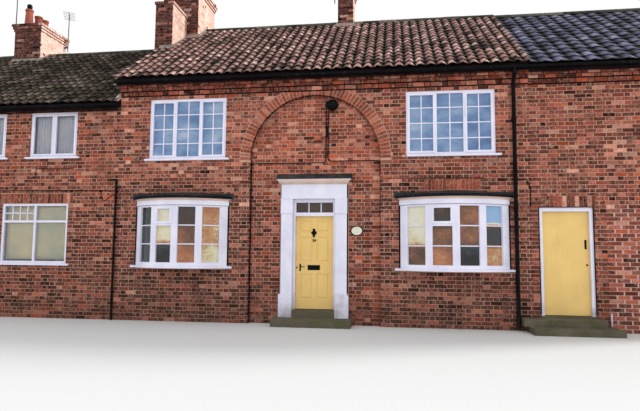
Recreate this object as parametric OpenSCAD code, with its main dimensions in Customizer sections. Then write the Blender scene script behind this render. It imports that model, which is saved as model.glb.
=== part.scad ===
// Terraced house row: a two-storey brick house with a blind arch, two segmental bow windows and a
// pilastered front door, between a lower neighbour on the left and a bay with a side door on the right.
// Millimetres. X runs along the front, Y into the houses from the brick face, Z up from the ground.

/* [Row] */
// Depth of the houses, front brick face to rear brick face
depth = 7100; // [6600:50:7600]
// Thickness of the front and rear walls
wall_t = 340; // [300:10:380]
// Thickness of the party walls
party_t = 230; // [200:10:260]
// Ground floor level above the ground
floor_z = 300; // [260:10:340]
// Thickness of the ground floors
ground_floor_t = 150; // [100:10:200]
// First floor level above the ground
first_floor_z = 2870; // [2860:10:2950]
// Thickness of the first floors
first_floor_t = 200; // [160:10:240]

/* [Main house] */
// Distance from the middle of the main house to its joint with the left house
main_left_w = 4430; // [4400:10:4520]
// Distance from the middle of the main house to its joint with the right house
main_right_w = 4400; // [4380:10:4440]
// Top of the main roof slab at the eaves
main_eaves = 5360; // [5320:10:5500]

/* [Left house] */
// Width of the left house
left_w = 6810; // [6700:20:7200]
// How far the left roof lies below the main roof
left_drop = 540; // [480:10:560]
// Width of an upper window of the left house
left_up_w = 1150; // [1050:10:1200]
// Spacing of the upper windows of the left house
left_up_pitch = 1780; // [1700:10:1840]
// Distance from the joint to the middle of the nearest upper window
left_up_in = 1620; // [1550:10:1700]
// Bottom of the upper windows of the left house
left_up_z = 3630; // [3600:10:3680]
// Height of the upper windows of the left house
left_up_h = 1030; // [950:10:1040]
// Width of a lower window of the left house
left_low_w = 1630; // [1500:10:1640]
// Distance from the joint to the middle of the nearest lower window
left_low_in = 1990; // [1950:10:2050]
// Spacing of the lower windows of the left house
left_low_pitch = 3280; // [3240:10:3320]
// Bottom of the lower windows of the left house
left_low_z = 1210; // [1150:10:1300]
// Height of the lower windows of the left house
left_low_h = 1350; // [1250:10:1360]
// Width of the left house door opening
left_door_w = 940; // [900:10:980]

/* [Right house] */
// Width of the right house
right_w = 4050; // [3900:20:4200]
// How far the right roof lies below the main roof
right_drop = 30; // [20:5:60]
// Width of the windows of the right house
right_win_w = 1100; // [1000:10:1150]
// Distance from the joint to the middle of the windows of the right house
right_win_in = 2950; // [2900:10:3000]

/* [Roof] */
// Pitch of the roofs in degrees
pitch = 35; // [34:0.5:37]
// Thickness of the roof slabs
roof_t = 130; // [110:10:150]
// Overhang of the roof slabs at the eaves
eaves_over = 150; // [130:5:170]
// Overhang of the main roof over the left gable
verge_over = 50; // [30:5:60]
// Radius of the ridge tiles
ridge_r = 115; // [100:5:130]
// Height of the brick eaves courses
corbel_h = 225; // [200:5:240]
// Projection of the brick eaves courses
corbel_p = 45; // [30:5:60]

/* [Arched recess] */
// Radius of the semicircular arch
arch_r = 1405; // [1380:5:1430]
// Height of the springing of the arch
arch_spring = 3480; // [3450:10:3520]
// Depth of the arch ring of bricks
ring_d = 230; // [220:10:240]
// Depth of the recess, half a brick
recess_d = 110; // [95:5:120]

/* [Bow windows] */
// Chord of the left bow window at the wall
bow_l_w = 2120; // [2080:10:2160]
// Chord of the right bow window at the wall
bow_r_w = 2200; // [2160:10:2220]
// Middle of the left bow window from the middle of the house
bow_l_x = 2880; // [2860:5:2900]
// Middle of the right bow window from the middle of the house
bow_r_x = 2885; // [2870:5:2900]
// Projection of a bow window in front of the wall
bow_p = 380; // [340:10:420]
// Top of the bow window sill
bow_sill_z = 1190; // [1150:10:1230]
// Underside of the bow window fascia
bow_head_z = 2495; // [2470:5:2520]
// Thickness of the bow window frame
bow_frame_t = 95; // [85:5:105]
// Width of the mullions of a bow window
bow_mullion = 125; // [110:5:140]
// Height of the fascia board of a bow window
bow_fascia_h = 95; // [80:5:110]
// How far the fascia board stands out over the frame
bow_fascia_p = 15; // [10:1:20]
// Projection of the hollow moulding over the fascia
bow_flare = 45; // [40:1:48]
// How far the lead drip edge stands out over the hollow moulding
bow_drip = 12; // [8:1:14]
// Slope of the lead roofs over the bow windows
lead_fall = 0.22; // [0.18:0.01:0.26]
// Width of the bow window openings in the wall
bow_open_w = 1880; // [1840:10:1900]

/* [Upper windows] */
// Width of the upper left window
up_l_w = 1760; // [1700:10:1800]
// Width of the upper right window
up_r_w = 1800; // [1740:10:1840]
// Middle of the upper windows from the middle of the house
up_x = 2838; // [2820:2:2850]
// Bottom of the upper window frames
up_z = 3540; // [3500:10:3580]
// Height of the upper window frames
up_h = 1340; // [1280:10:1380]

/* [Window joinery] */
// Face width of the outer frame members
frame_w = 50; // [45:5:60]
// Depth of a window frame
frame_d = 75; // [65:5:90]
// How far the window frames stand back from the brick face
frame_back = 15; // [10:5:40]
// Face width of a casement rail
sash_w = 42; // [36:2:48]
// How far a casement stands proud of its frame
sash_proud = 12; // [8:1:14]
// Thickness of the glass
glass_t = 6; // [5:1:8]
// Thickness of a timber sill
sill_t = 45; // [35:5:50]
// Projection of a timber sill
sill_p = 60; // [50:5:80]
// How far a sill runs past the frame at each end
sill_horn = 90; // [70:5:100]

/* [Front door] */
// Width of the front door leaf
door_w = 834; // [820:2:846]
// Height of the front door leaf
door_h = 1975; // [1960:5:1985]
// Thickness of the door leaves
leaf_t = 45; // [40:1:48]
// Clearance round a door leaf
door_gap = 7; // [6:1:9]
// Clearance under a door leaf
door_foot = 9; // [8:1:12]
// Width of the front door opening in the wall
door_open_w = 1000; // [990:2:1010]
// Height of the front door opening in the wall
door_open_z = 2660; // [2650:5:2680]
// Underside of the fanlight
fan_z = 2350; // [2345:5:2360]
// Height of the fanlight glass
fan_h = 215; // [200:5:220]
// How far the door leaf stands back from the brick face of the house
leaf_back = 205; // [200:5:215]
// Half the width over the pilasters
pil_out = 700; // [690:5:710]
// Half the width between the pilasters
pil_in = 460; // [450:5:465]
// Projection of the pilasters from the recess
pil_p = 90; // [80:5:95]
// Height of the top of the plinth blocks
plinth_z = 620; // [600:10:640]
// How far the plinth blocks stand out round a pilaster
plinth_out = 40; // [30:5:45]
// Underside of the capital blocks
cap_z = 2340; // [2330:5:2350]
// Underside of the frieze
frieze_z = 2640; // [2630:5:2645]
// Underside of the cornice
cornice_z = 2920; // [2900:10:2940]
// Rise of the cornice
cornice_h = 130; // [120:5:140]
// Flare of the cornice
cornice_p = 90; // [80:5:100]

/* [Side door] */
// Middle of the side door from the middle of the main house
side_x = 5050; // [5045:1:5056]
// Width of the side door opening
side_open_w = 1010; // [1000:2:1014]
// Height of the side door opening
side_open_z = 2430; // [2420:5:2450]
// Width of the side door leaf
side_w = 906; // [900:2:910]
// How far the side door leaf stands back from the brick face
side_back = 95; // [85:5:105]

/* [Steps] */
// Width of the front door step
step_w = 1620; // [1560:20:1700]
// Depth of the front door step in front of the brick face
step_d = 420; // [360:10:480]
// Height of the front door step
step_h = 150; // [130:5:160]
// Width of the upper side step
side_step_w = 1500; // [1460:20:1510]
// Depth of the upper side step
side_step_d = 300; // [260:10:340]
// Width of the lower side step
side_low_w = 1590; // [1540:20:1640]
// Depth of the lower side step
side_low_d = 620; // [580:10:680]
// Height of the lower side step
side_low_h = 120; // [110:5:140]

/* [Rainwater] */
// Outer radius of the gutters
gutter_r = 57; // [50:1:62]
// Radius of the downpipes
pipe_r = 38; // [32:1:42]
// Distance of the downpipe from the middle of the main house
pipe_x = 4096; // [4092:2:4110]
// Gap between a pipe and the wall
pipe_off = 22; // [18:1:30]

/* [Chimneys] */
// Left face of the front party wall stack
stack_a_x = -4620; // [-4640:10:-4600]
// Width of the front party wall stack
stack_a_w = 480; // [460:10:500]
// Front face of the front party wall stack
stack_a_y = 1950; // [1900:10:2000]
// Top of the front party wall stack
stack_a_top = 8170; // [8120:10:8220]
// Right face of the back party wall stack
stack_b_right = -3800; // [-3820:10:-3780]
// Width of the back party wall stack
stack_b_w = 1040; // [1000:10:1060]
// Front face of the back party wall stack
stack_b_y = 2890; // [2870:10:2910]
// Depth of the back party wall stack
stack_b_d = 1320; // [1280:10:1360]
// Top of the back party wall stack
stack_b_top = 9070; // [9000:10:9150]
// Left face of the main house stack
stack_c_x = 145; // [130:5:160]
// Width of the main house stack
stack_c_w = 425; // [400:5:450]
// Front face of the main house stack
stack_c_y = 3310; // [3290:5:3330]
// Depth of the main house stack
stack_c_d = 680; // [640:10:700]
// Top of the main house stack
stack_c_top = 9020; // [8950:10:9100]
// Left face of the left house stack
stack_l_x = -9650; // [-9670:10:-9630]
// Width of the left house stack
stack_l_w = 850; // [820:10:880]
// Front face of the left house stack
stack_l_y = 3100; // [3080:10:3120]
// Depth of the left house stack
stack_l_d = 1220; // [1180:10:1240]
// Top of the left house stack
stack_l_top = 8295; // [8220:5:8340]
// Rise of one oversailing course
course_h = 75; // [70:1:80]
// Projection of one oversailing course
course_p = 25; // [20:1:30]
// Height of a chimney pot
pot_h = 500; // [420:10:560]
// Radius of a chimney pot at its foot
pot_r = 125; // [110:5:135]
// Height of the aerial masts over the top of their stacks
mast_h = 1300; // [1000:50:1500]
// Radius of the aerial masts
mast_r = 14; // [12:1:18]

/* [Hidden] */
$fn = 48;

// Joints between the houses, and the ends of the row
main_l = -main_left_w;
main_r = main_right_w;
row_l = main_l - left_w;
row_r = main_r + right_w;
// Gap of a mortar joint between two runs of the same work
seam = 1;
eaves = [main_eaves - left_drop, main_eaves, main_eaves - right_drop];
slab_v = roof_t / cos(pitch);

function roof_top(ze, y) = ze + (min(y, depth - y) + eaves_over) * tan(pitch);
function roof_under(ze, y) = roof_top(ze, y) - slab_v;
function arc(cx, cy, r, a0, a1, n) = [for (i = [0:n]) let (a = a0 + (a1 - a0) * i / n)
    [cx + r * cos(a), cy + r * sin(a)]];

// Extrudes a Y-Z outline along X from x0 to x1
module along_x(x0, x1) { translate([x0, 0, 0]) rotate([90, 0, 90]) linear_extrude(x1 - x0) children(); }
// Extrudes an X-Z outline along Y from y0 to y1
module along_y(y0, y1) { translate([0, y1, 0]) rotate([90, 0, 0]) linear_extrude(y1 - y0) children(); }
// Box from its low and high corners
module block(a, b) { translate(a) cube(b - a); }
module mirror_front_to_rear() { translate([0, depth, 0]) mirror([0, 1, 0]) children(); }

// Colours as they show in the photograph
brick = [0.50, 0.27, 0.21];
dark_brick = [0.40, 0.22, 0.18];
pantile = [0.50, 0.36, 0.33];
dark_tile = [0.27, 0.24, 0.22];
blue_tile = [0.22, 0.22, 0.27];
white_paint = [0.88, 0.88, 0.93];
black_paint = [0.06, 0.07, 0.09];
yellow_paint = [0.90, 0.75, 0.40];
glass_tint = [0.45, 0.55, 0.62, 0.6];
lead = [0.20, 0.22, 0.25];
stone = [0.45, 0.43, 0.38];
boards = [0.55, 0.42, 0.28];

// Front and rear walls, from y0 back to the inside face, with tops that follow the roof slab
module wall_slab(x0, x1, ze, y0 = 0, z0 = 0) {
    along_x(x0, x1) polygon([[y0, z0], [wall_t, z0], [wall_t, roof_under(ze, wall_t)], [y0, roof_under(ze, y0)]]);
}
module opening(xc, w, z, h) { block([xc - w / 2, -1, z], [xc + w / 2, wall_t + 1, z + h]); }

module main_front_half(s) {
    x0 = s < 0 ? main_l : arch_r;
    x1 = s < 0 ? -arch_r : main_r;
    notch = s < 0 ? [-arch_r - ring_d, -arch_r + 1] : [arch_r - 1, arch_r + ring_d];
    bow_x = s < 0 ? -bow_l_x : bow_r_x;
    difference() {
        wall_slab(x0, x1, main_eaves);
        block([notch[0], -1, arch_spring], [notch[1], recess_d, main_eaves + 500]);
        opening(bow_x, bow_open_w, bow_sill_z, bow_head_z - bow_sill_z);
        opening(s * up_x, s < 0 ? up_l_w : up_r_w, up_z, up_h);
    }
}
module front_wall_left() color(brick) main_front_half(-1);
module front_wall_right() color(brick) main_front_half(1);

module recess_wall_side(s) {
    x0 = s < 0 ? -arch_r : door_open_w / 2;
    x1 = s < 0 ? -door_open_w / 2 : arch_r;
    block([x0, recess_d, 0], [x1, wall_t, door_open_z]);
}
module recess_wall_left() color(brick) recess_wall_side(-1);
module recess_wall_right() color(brick) recess_wall_side(1);
module recess_wall_over_door() color(brick) wall_slab(-arch_r, arch_r, main_eaves, recess_d, door_open_z);

// Half-brick leaf over the recess: its underside is the semicircular arch
module arch_front_leaf() color(brick) difference() {
    along_x(-arch_r - ring_d, arch_r + ring_d) polygon([[0, arch_spring], [recess_d, arch_spring],
        [recess_d, roof_under(main_eaves, recess_d)], [0, roof_under(main_eaves, 0)]]);
    translate([0, -1, arch_spring]) rotate([-90, 0, 0]) cylinder(r = arch_r, h = recess_d + 2, $fn = 96);
}

// Places of the left house's windows and door, counted from the joint with the main house
left_up_x = [for (i = [0:2]) main_l - left_up_in - i * left_up_pitch];
left_low_x = [for (i = [0:1]) main_l - left_low_in - i * left_low_pitch];
left_door_x = (left_low_x[0] + left_low_x[1]) / 2;
plain_door_h = 2080;
module left_house_front_wall() color(brick) difference() {
    wall_slab(row_l, main_l, eaves[0]);
    for (x = left_up_x) opening(x, left_up_w, left_up_z, left_up_h);
    for (x = left_low_x) opening(x, left_low_w, left_low_z, left_low_h);
    opening(left_door_x, left_door_w, floor_z, plain_door_h);
}

side_l = side_x - side_open_w / 2;
side_r = side_x + side_open_w / 2;
right_win_x = main_r + right_win_in;
right_win_h = 1200;
module side_door_pier() color(brick) block([main_r, 0, 0], [side_l, wall_t, side_open_z]);
module right_house_front_wall() color(brick) difference() {
    wall_slab(side_r, row_r, eaves[2]);
    opening(right_win_x, right_win_w, up_z, right_win_h);
    opening(right_win_x, right_win_w, bow_sill_z, right_win_h);
}
module wall_over_side_door() color(brick) wall_slab(main_r, side_r, eaves[2], 0, side_open_z);

// Party walls between the inside faces of the front and rear walls
module party_wall(x0, ze) {
    along_x(x0, x0 + party_t) polygon([[wall_t, 0], [depth - wall_t, 0],
        [depth - wall_t, roof_under(ze, wall_t)], [depth / 2, roof_under(ze, depth / 2)],
        [wall_t, roof_under(ze, wall_t)]]);
}
module party_wall_left_end() color(brick) party_wall(row_l, eaves[0]);
// This wall shows over the lower roof as the gable of the main house
module party_wall_left_main() color(brick) party_wall(main_l, main_eaves);
module party_wall_main_right() color(brick) party_wall(main_r - party_t, main_eaves);
module party_wall_right_end() color(brick) party_wall(row_r - party_t, eaves[2]);

// Rear walls repeat the storeys with plain windows, and one plain door a house
rear_win_w = 1200;
rear_win_h = 1150;
rear_low_z = 1250;
rear_up_z = 3600;
rear_door_w = 900;
left_mid = (row_l + main_l) / 2;
right_mid = (main_r + row_r) / 2;
rear_up_x = [[left_mid - 1700, left_mid + 1700], [-2700, 0, 2700], [right_mid]];
rear_low_x = [[left_mid - 1700], [-2700, 2700], [right_mid - 850]];
rear_door_x = [left_mid + 1700, 0, right_mid + 850];
module rear_wall(i, x0, x1) {
    mirror_front_to_rear() difference() {
        wall_slab(x0, x1, eaves[i]);
        for (x = rear_up_x[i]) opening(x, rear_win_w, rear_up_z, rear_win_h - (i == 0 ? 120 : 0));
        for (x = rear_low_x[i]) opening(x, rear_win_w, rear_low_z, rear_win_h);
        opening(rear_door_x[i], rear_door_w, floor_z, plain_door_h);
    }
}
module rear_wall_left_house() color(brick) rear_wall(0, row_l, main_l);
module rear_wall_main_house() color(brick) rear_wall(1, main_l, main_r);
module rear_wall_right_house() color(brick) rear_wall(2, main_r, row_r);

// Clear rooms between the party walls: low x, high x of each house
rooms = [[row_l + party_t, main_l], [main_l + party_t, main_r - party_t], [main_r, row_r - party_t]];
module floors(z, t) difference() {
    for (r = rooms) block([r[0], wall_t, z - t], [r[1], depth - wall_t, z]);
    all_shafts();
}
module ground_floors() color(boards) floors(floor_z, ground_floor_t);
module first_floors() color(boards) floors(first_floor_z, first_floor_t);

// Roof slabs, cut round the chimney stacks
module roof_slab(x0, x1, ze) difference() {
    along_x(x0, x1) polygon([[-eaves_over, roof_top(ze, -eaves_over)], [depth / 2, roof_top(ze, depth / 2)],
        [depth / 2, roof_under(ze, depth / 2)], [-eaves_over, roof_under(ze, -eaves_over)]]);
    all_shafts();
}
module rear_roof_slab(x0, x1, ze) difference() {
    mirror_front_to_rear() along_x(x0, x1) polygon([[-eaves_over, roof_top(ze, -eaves_over)],
        [depth / 2, roof_top(ze, depth / 2)], [depth / 2, roof_under(ze, depth / 2)],
        [-eaves_over, roof_under(ze, -eaves_over)]]);
    all_shafts();
}
module left_roof_front() color(dark_tile) roof_slab(row_l, main_l, eaves[0]);
module left_roof_rear() color(dark_tile) rear_roof_slab(row_l, main_l, eaves[0]);
module main_roof_front() color(pantile) roof_slab(main_l - verge_over, main_r, eaves[1]);
module main_roof_rear() color(pantile) rear_roof_slab(main_l - verge_over, main_r, eaves[1]);
module right_roof_front() color(blue_tile) roof_slab(main_r, row_r, eaves[2]);
module right_roof_rear() color(blue_tile) rear_roof_slab(main_r, row_r, eaves[2]);

// Half-round ridge tiles bedded over the joint of the two slopes, stopped at the stacks
ridge_bed = 0.1;
module ridge_run(x0, x1, ze) {
    z = roof_top(ze, depth / 2) + ridge_bed;
    difference() {
        along_x(x0, x1) translate([depth / 2, z]) difference() {
            translate([0, -20]) circle(r = ridge_r);
            polygon([[0, 0], [ridge_r * 2, -ridge_r * 2 * tan(pitch)], [ridge_r * 2, -ridge_r * 3],
                [-ridge_r * 2, -ridge_r * 3], [-ridge_r * 2, -ridge_r * 2 * tan(pitch)]]);
        }
        all_shafts();
    }
}
module ridge_tiles() color(dark_tile) {
    ridge_run(row_l, main_l, eaves[0]);
    ridge_run(main_l - verge_over, main_r, eaves[1]);
    ridge_run(main_r + seam, row_r, eaves[2]);
}

// Two projecting brick courses under the eaves, front and rear
module corbel(x0, x1, ze) {
    foot = roof_under(ze, 0) - corbel_h;
    along_x(x0, x1) polygon([[0, foot], [0, roof_under(ze, 0)], [-corbel_p, roof_under(ze, -corbel_p)],
        [-corbel_p, foot + corbel_h / 2], [-corbel_p / 2, foot + corbel_h / 2], [-corbel_p / 2, foot]]);
}
module eaves_side() {
    corbel(row_l, main_l, eaves[0]);
    corbel(main_l, main_r, eaves[1]);
    corbel(main_r + seam, row_r, eaves[2]);
}
module eaves_courses() color(dark_brick) {
    eaves_side();
    mirror_front_to_rear() eaves_side();
}

// Chimney stacks: a shaft and oversailing courses at the head
module stack_head(x, y, w, d, top, n) {
    for (i = [1:n]) {
        p = course_p * i;
        z0 = top - course_h * (n - i + 1);
        block([x - p, y - p, z0], [x + w + p, y + d + p, z0 + course_h]);
    }
}
// Plan of each stack: low x, low y, width, depth, top
stack_a = [stack_a_x, stack_a_y, stack_a_w, stack_b_y - stack_a_y, stack_a_top];
stack_b = [stack_b_right - stack_b_w, stack_b_y, stack_b_w, stack_b_d, stack_b_top];
stack_c = [stack_c_x, stack_c_y, stack_c_w, stack_c_d, stack_c_top];
stack_l = [stack_l_x, stack_l_y, stack_l_w, stack_l_d, stack_l_top];
module shaft(s) { block([s[0], s[1], 0], [s[0] + s[2], s[1] + s[3], s[4]]); }
module all_shafts() { for (s = [stack_a, stack_b, stack_c, stack_l]) shaft(s); }
module stack(s, n) {
    shaft(s);
    stack_head(s[0], s[1], s[2], s[3], s[4], n);
}
module chimney_left_house() color(dark_brick) stack(stack_l, 3);
module chimney_party_wall_front() color(dark_brick) difference() {
    union() {
        shaft(stack_a);
        block([stack_a_x - course_p, stack_a_y - course_p, stack_a_top - course_h],
            [stack_a_x + stack_a_w + course_p, stack_b_y, stack_a_top]);
    }
    party_wall_left_main();
}
module chimney_party_wall_back() color(dark_brick) difference() {
    stack(stack_b, 3);
    party_wall_left_main();
}
module chimney_main_house() color(dark_brick) stack(stack_c, 3);

// Tapered clay pots with a moulded rim, open at the top
module pot(x, y, z, h, r) {
    translate([x, y, z]) rotate_extrude() polygon([[r - 25, 60], [r - 25, 0], [r + 12, 0], [r + 12, 40], [r, 60],
        [r - 22, h - 60], [r - 4, h - 50], [r - 4, h], [r - 45, h], [r - 45, 60]]);
}
// Pots stand at fractions of their stack's width and depth
module pots_on(s, places) {
    for (p = places) pot(s[0] + s[2] * p[0], s[1] + s[3] * p[1], s[4], pot_h * p[2], pot_r);
}
module chimney_pots() color([0.62, 0.30, 0.20]) {
    pots_on(stack_l, [[0.22, 0.26, 1.2], [0.34, 0.5, 1], [0.28, 0.8, 1.08]]);
    pots_on(stack_b, [[0.27, 0.25, 0.9], [0.73, 0.25, 0.9], [0.27, 0.75, 0.9], [0.73, 0.75, 0.9]]);
    pots_on(stack_c, [[0.5, 0.26, 0.85], [0.5, 0.74, 0.85]]);
}

// Rods of the television aerials
module rod(a, b, r) {
    v = b - a;
    l = norm(v);
    translate(a) rotate([0, acos(v[2] / l), atan2(v[1], v[0])]) cylinder(r = r, h = l, $fn = 16);
}
// Mast lashed to the side of a stack: side -1 is its left face, 1 its right face
mast_off = 110;
mast_foot = 450;
mast_band = 300;
boom_len = 620;
boom_r = 9;
element_l = 340;
element_r = 5;
elements = 6;
module aerial(s, side, f, h, turn) {
    face = side < 0 ? s[0] : s[0] + s[2];
    x = face + side * mast_off;
    y = s[1] + s[3] * f;
    rod([x, y, s[4] - mast_foot], [x, y, s[4] + h], mast_r);
    block([min(face, x), y - mast_r - 6, s[4] - mast_band - 25], [max(face, x), y + mast_r + 6, s[4] - mast_band + 25]);
    translate([x, y, s[4] + h - 60]) rotate([0, 0, turn]) {
        rod([-boom_len / 2, 0, 0], [boom_len / 2, 0, 0], boom_r);
        for (i = [0:elements - 1]) translate([boom_len * (0.96 * i / (elements - 1) - 0.48), 0, 0])
            rod([0, -element_l / 2, 0], [0, element_l / 2, 0], element_r);
    }
}
module tv_aerials() color(black_paint) {
    aerial(stack_l, -1, 0.12, mast_h, 35);
    aerial(stack_l, 1, 0.95, mast_h * 0.62, 120);
    aerial(stack_c, -1, 0.2, mast_h * 0.5, 20);
}

// Half-round gutters with a flat back against the slab ends
gutter_z = main_eaves - slab_v + 110;
function gutter_level(ze) = ze - main_eaves + gutter_z;
module gutter(x0, x1, ze) {
    z = gutter_level(ze);
    yc = -eaves_over - gutter_r;
    translate([x0, 0, 0]) rotate([90, 0, 90]) linear_extrude(x1 - x0) union() {
        difference() {
            translate([yc, z]) circle(r = gutter_r);
            translate([yc, z]) circle(r = gutter_r - 5);
            translate([yc - 2 * gutter_r, z]) square([4 * gutter_r, 2 * gutter_r]);
        }
        translate([-eaves_over - 6, z - 15]) square([6, 35]);
        translate([yc - gutter_r, z - 6]) square([8, 10]);
    }
}
module gutters_side() {
    gutter(row_l, main_l, eaves[0]);
    gutter(main_l - verge_over, row_r, eaves[2]);
}
module gutters() color(black_paint) {
    gutters_side();
    mirror_front_to_rear() gutters_side();
}

// Round downpipe with a swan neck from the gutter back to the wall, and wall clips
bead = 4;
module elbow(p, r) { translate(p) sphere(r = r + bead); }
outlet_h = 70;
swan_h = 260;
pipe_foot = 60;
clip_h = 45;
clip_w = 90;
clip_levels = [900, 2380, 4200];
module downpipe(x, ze) {
    top = gutter_level(ze) - gutter_r;
    yg = -eaves_over - gutter_r;
    yw = -pipe_r - pipe_off;
    rod([x, yg, top - outlet_h], [x, yg, top - seam], pipe_r);
    elbow([x, yg, top - outlet_h], pipe_r);
    rod([x, yg, top - outlet_h], [x, yw, top - swan_h], pipe_r);
    elbow([x, yw, top - swan_h], pipe_r);
    rod([x, yw, pipe_foot], [x, yw, top - swan_h], pipe_r);
    for (z = clip_levels) {
        translate([x, yw, z]) cylinder(r = pipe_r + bead, h = clip_h);
        block([x - clip_w / 2, yw, z], [x + clip_w / 2, 0, z + clip_h]);
    }
}
vent_r = 22;
vent_top = 3080;
vent_x = main_l - 15;
vent_arm = 130;
module vent_pipe() {
    y = -vent_r - pipe_off;
    rod([vent_x, y, 0], [vent_x, y, vent_top], vent_r);
    elbow([vent_x, y, vent_top], vent_r);
    rod([vent_x, y, vent_top], [vent_x - vent_arm, y, vent_top], vent_r);
    for (z = [600, 1800, 2800]) block([vent_x - 30, y, z], [vent_x + 30, 0, z + 30]);
}
module downpipes() color(black_paint) {
    downpipe(pipe_x, eaves[2]);
    mirror_front_to_rear() {
        downpipe(pipe_x, eaves[2]);
        downpipe(row_l + 300, eaves[0]);
    }
    vent_pipe();
}

// Rectangular timber frame with mullions; x positions are the middles of the mullions
module frame_shape(xc, w, z, h, mullions, transom) {
    difference() {
        block([xc - w / 2, frame_back, z], [xc + w / 2, frame_back + frame_d, z + h]);
        block([xc - w / 2 + frame_w, -1, z + frame_w], [xc + w / 2 - frame_w, wall_t, z + h - frame_w]);
    }
    for (m = mullions) block([xc + m - frame_w / 2, frame_back, z + frame_w / 2],
        [xc + m + frame_w / 2, frame_back + frame_d, z + h - frame_w / 2]);
    for (t = transom) block([xc - w / 2 + frame_w / 2, frame_back, z + t - frame_w / 2],
        [xc + w / 2 - frame_w / 2, frame_back + frame_d, z + t + frame_w / 2]);
}
module casement(x0, x1, z0, z1) {
    difference() {
        block([x0, frame_back - sash_proud, z0], [x1, frame_back + frame_d / 2, z1]);
        block([x0 + sash_w, -sash_proud - 1, z0 + sash_w], [x1 - sash_w, wall_t, z1 - sash_w]);
    }
}
module upper_frame(xc, w) {
    light = (w - 4 * frame_w) / 3;
    m = light / 2 + frame_w / 2;
    frame_shape(xc, w, up_z, up_h, [-m, m], []);
    for (s = [-1, 1]) casement(xc + s * (light + frame_w) - light / 2 - 14, xc + s * (light + frame_w) + light / 2 + 14,
        up_z + frame_w - 14, up_z + up_h - frame_w + 14);
}
module upper_window_frames() color(white_paint) {
    upper_frame(-up_x, up_l_w);
    upper_frame(up_x, up_r_w);
}
module neighbour_window_frames() color(white_paint) {
    for (x = left_up_x) frame_shape(x, left_up_w, left_up_z, left_up_h, [0], []);
    for (x = left_low_x) frame_shape(x, left_low_w, left_low_z, left_low_h, [0], [left_low_h * 0.70]);
    frame_shape(right_win_x, right_win_w, up_z, right_win_h, [0], []);
    frame_shape(right_win_x, right_win_w, bow_sill_z, right_win_h, [0], []);
}
module rear_window_frames() color(white_paint) mirror_front_to_rear() for (i = [0:2]) {
    for (x = rear_up_x[i]) frame_shape(x, rear_win_w, rear_up_z, rear_win_h - (i == 0 ? 120 : 0), [0], []);
    for (x = rear_low_x[i]) frame_shape(x, rear_win_w, rear_low_z, rear_win_h, [0], []);
}

glass_y = frame_back + frame_d / 2;
module pane(xc, w, z, h) { block([xc - w / 2 + frame_w - 8, glass_y, z + frame_w - 8],
    [xc + w / 2 - frame_w + 8, glass_y + glass_t, z + h - frame_w + 8]); }
module panes_cut(xc, w, z, h, mullions, transom) difference() {
    pane(xc, w, z, h);
    frame_shape(xc, w, z, h, mullions, transom);
}
module upper_panes(xc, w) difference() {
    pane(xc, w, up_z, up_h);
    upper_frame(xc, w);
}
module upper_glass() color(glass_tint) {
    upper_panes(-up_x, up_l_w);
    upper_panes(up_x, up_r_w);
    for (x = left_up_x) panes_cut(x, left_up_w, left_up_z, left_up_h, [0], []);
    panes_cut(right_win_x, right_win_w, up_z, right_win_h, [0], []);
    mirror_front_to_rear() for (i = [0:2], x = rear_up_x[i])
        panes_cut(x, rear_win_w, rear_up_z, rear_win_h - (i == 0 ? 120 : 0), [0], []);
}
module lower_glass() color(glass_tint) {
    for (x = left_low_x) panes_cut(x, left_low_w, left_low_z, left_low_h, [0], [left_low_h * 0.70]);
    panes_cut(right_win_x, right_win_w, bow_sill_z, right_win_h, [0], []);
    block([-fan_half, leaf_back + 10, fan_z], [fan_half, leaf_back + 10 + glass_t, fan_z + fan_h]);
    mirror_front_to_rear() for (i = [0:2], x = rear_low_x[i])
        panes_cut(x, rear_win_w, rear_low_z, rear_win_h, [0], []);
}

// Segmental bow: rings about an axis behind the wall, cut off at the brick face
function bow_radius(c) = (c * c / 4 + bow_p * bow_p) / (2 * bow_p);
module bow_ring(xc, c, r0, r1, z0, z1) {
    R = bow_radius(c);
    intersection() {
        translate([xc, R - bow_p, 0]) rotate_extrude($fn = 180) translate([R + r0, z0]) square([r1 - r0, z1 - z0]);
        block([xc - 2000, -1000, z0 - 1], [xc + 2000, 0, z1 + 1]);
    }
}
// Radial post at a fraction of the bow's arc, 0 at the left end and 1 at the right
module bow_post(xc, c, f, w, r0, r1, z0, z1) {
    R = bow_radius(c);
    half = asin(c / 2 / R);
    translate([xc, R - bow_p, 0]) rotate([0, 0, -half + 2 * half * f]) block([-w / 2, -R - r1, z0], [w / 2, -R - r0, z1]);
}
bow_rail = 80;
module bow_frame(xc, c) {
    R = bow_radius(c);
    half = asin(c / 2 / R);
    bow_ring(xc, c, -bow_frame_t, 0, bow_sill_z, bow_sill_z + bow_rail);
    bow_ring(xc, c, -bow_frame_t, 0, bow_head_z - 40, bow_head_z);
    // End jambs: what the wall face leaves of the ring
    intersection() {
        bow_ring(xc, c, -bow_frame_t, 0, bow_sill_z, bow_head_z);
        union() for (s = [-1, 1]) block([xc + s * c / 2 - 175, -150, 0], [xc + s * c / 2 + 175, 0, bow_head_z]);
    }
    for (i = [1:3]) bow_post(xc, c, i / 4, bow_mullion, -bow_frame_t, -2, bow_sill_z + 10, bow_head_z - 10);
    // Top-hung opening light in the second bay, over a transom
    intersection() {
        union() {
            bow_ring(xc, c, -bow_frame_t, 0, vent_rail_z - 45, vent_rail_z);
            difference() {
                bow_ring(xc, c, -60, 14, vent_rail_z + 4, bow_head_z - 32);
                bow_ring(xc, c, -100, 50, vent_rail_z + 4 + 48, bow_head_z - 32 - 48);
            }
            for (f = [0.25, 0.5]) bow_post(xc, c, f, bow_mullion + 100, -60, 13, vent_rail_z + 5, bow_head_z - 33);
        }
        translate([xc, R - bow_p, 0]) rotate([0, 0, -half / 2]) block([-R * sin(half / 4) - 20, -R - 60, 0],
            [R * sin(half / 4) + 20, -R + 200, bow_head_z]);
    }
}
vent_rail_z = 2075;
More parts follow.
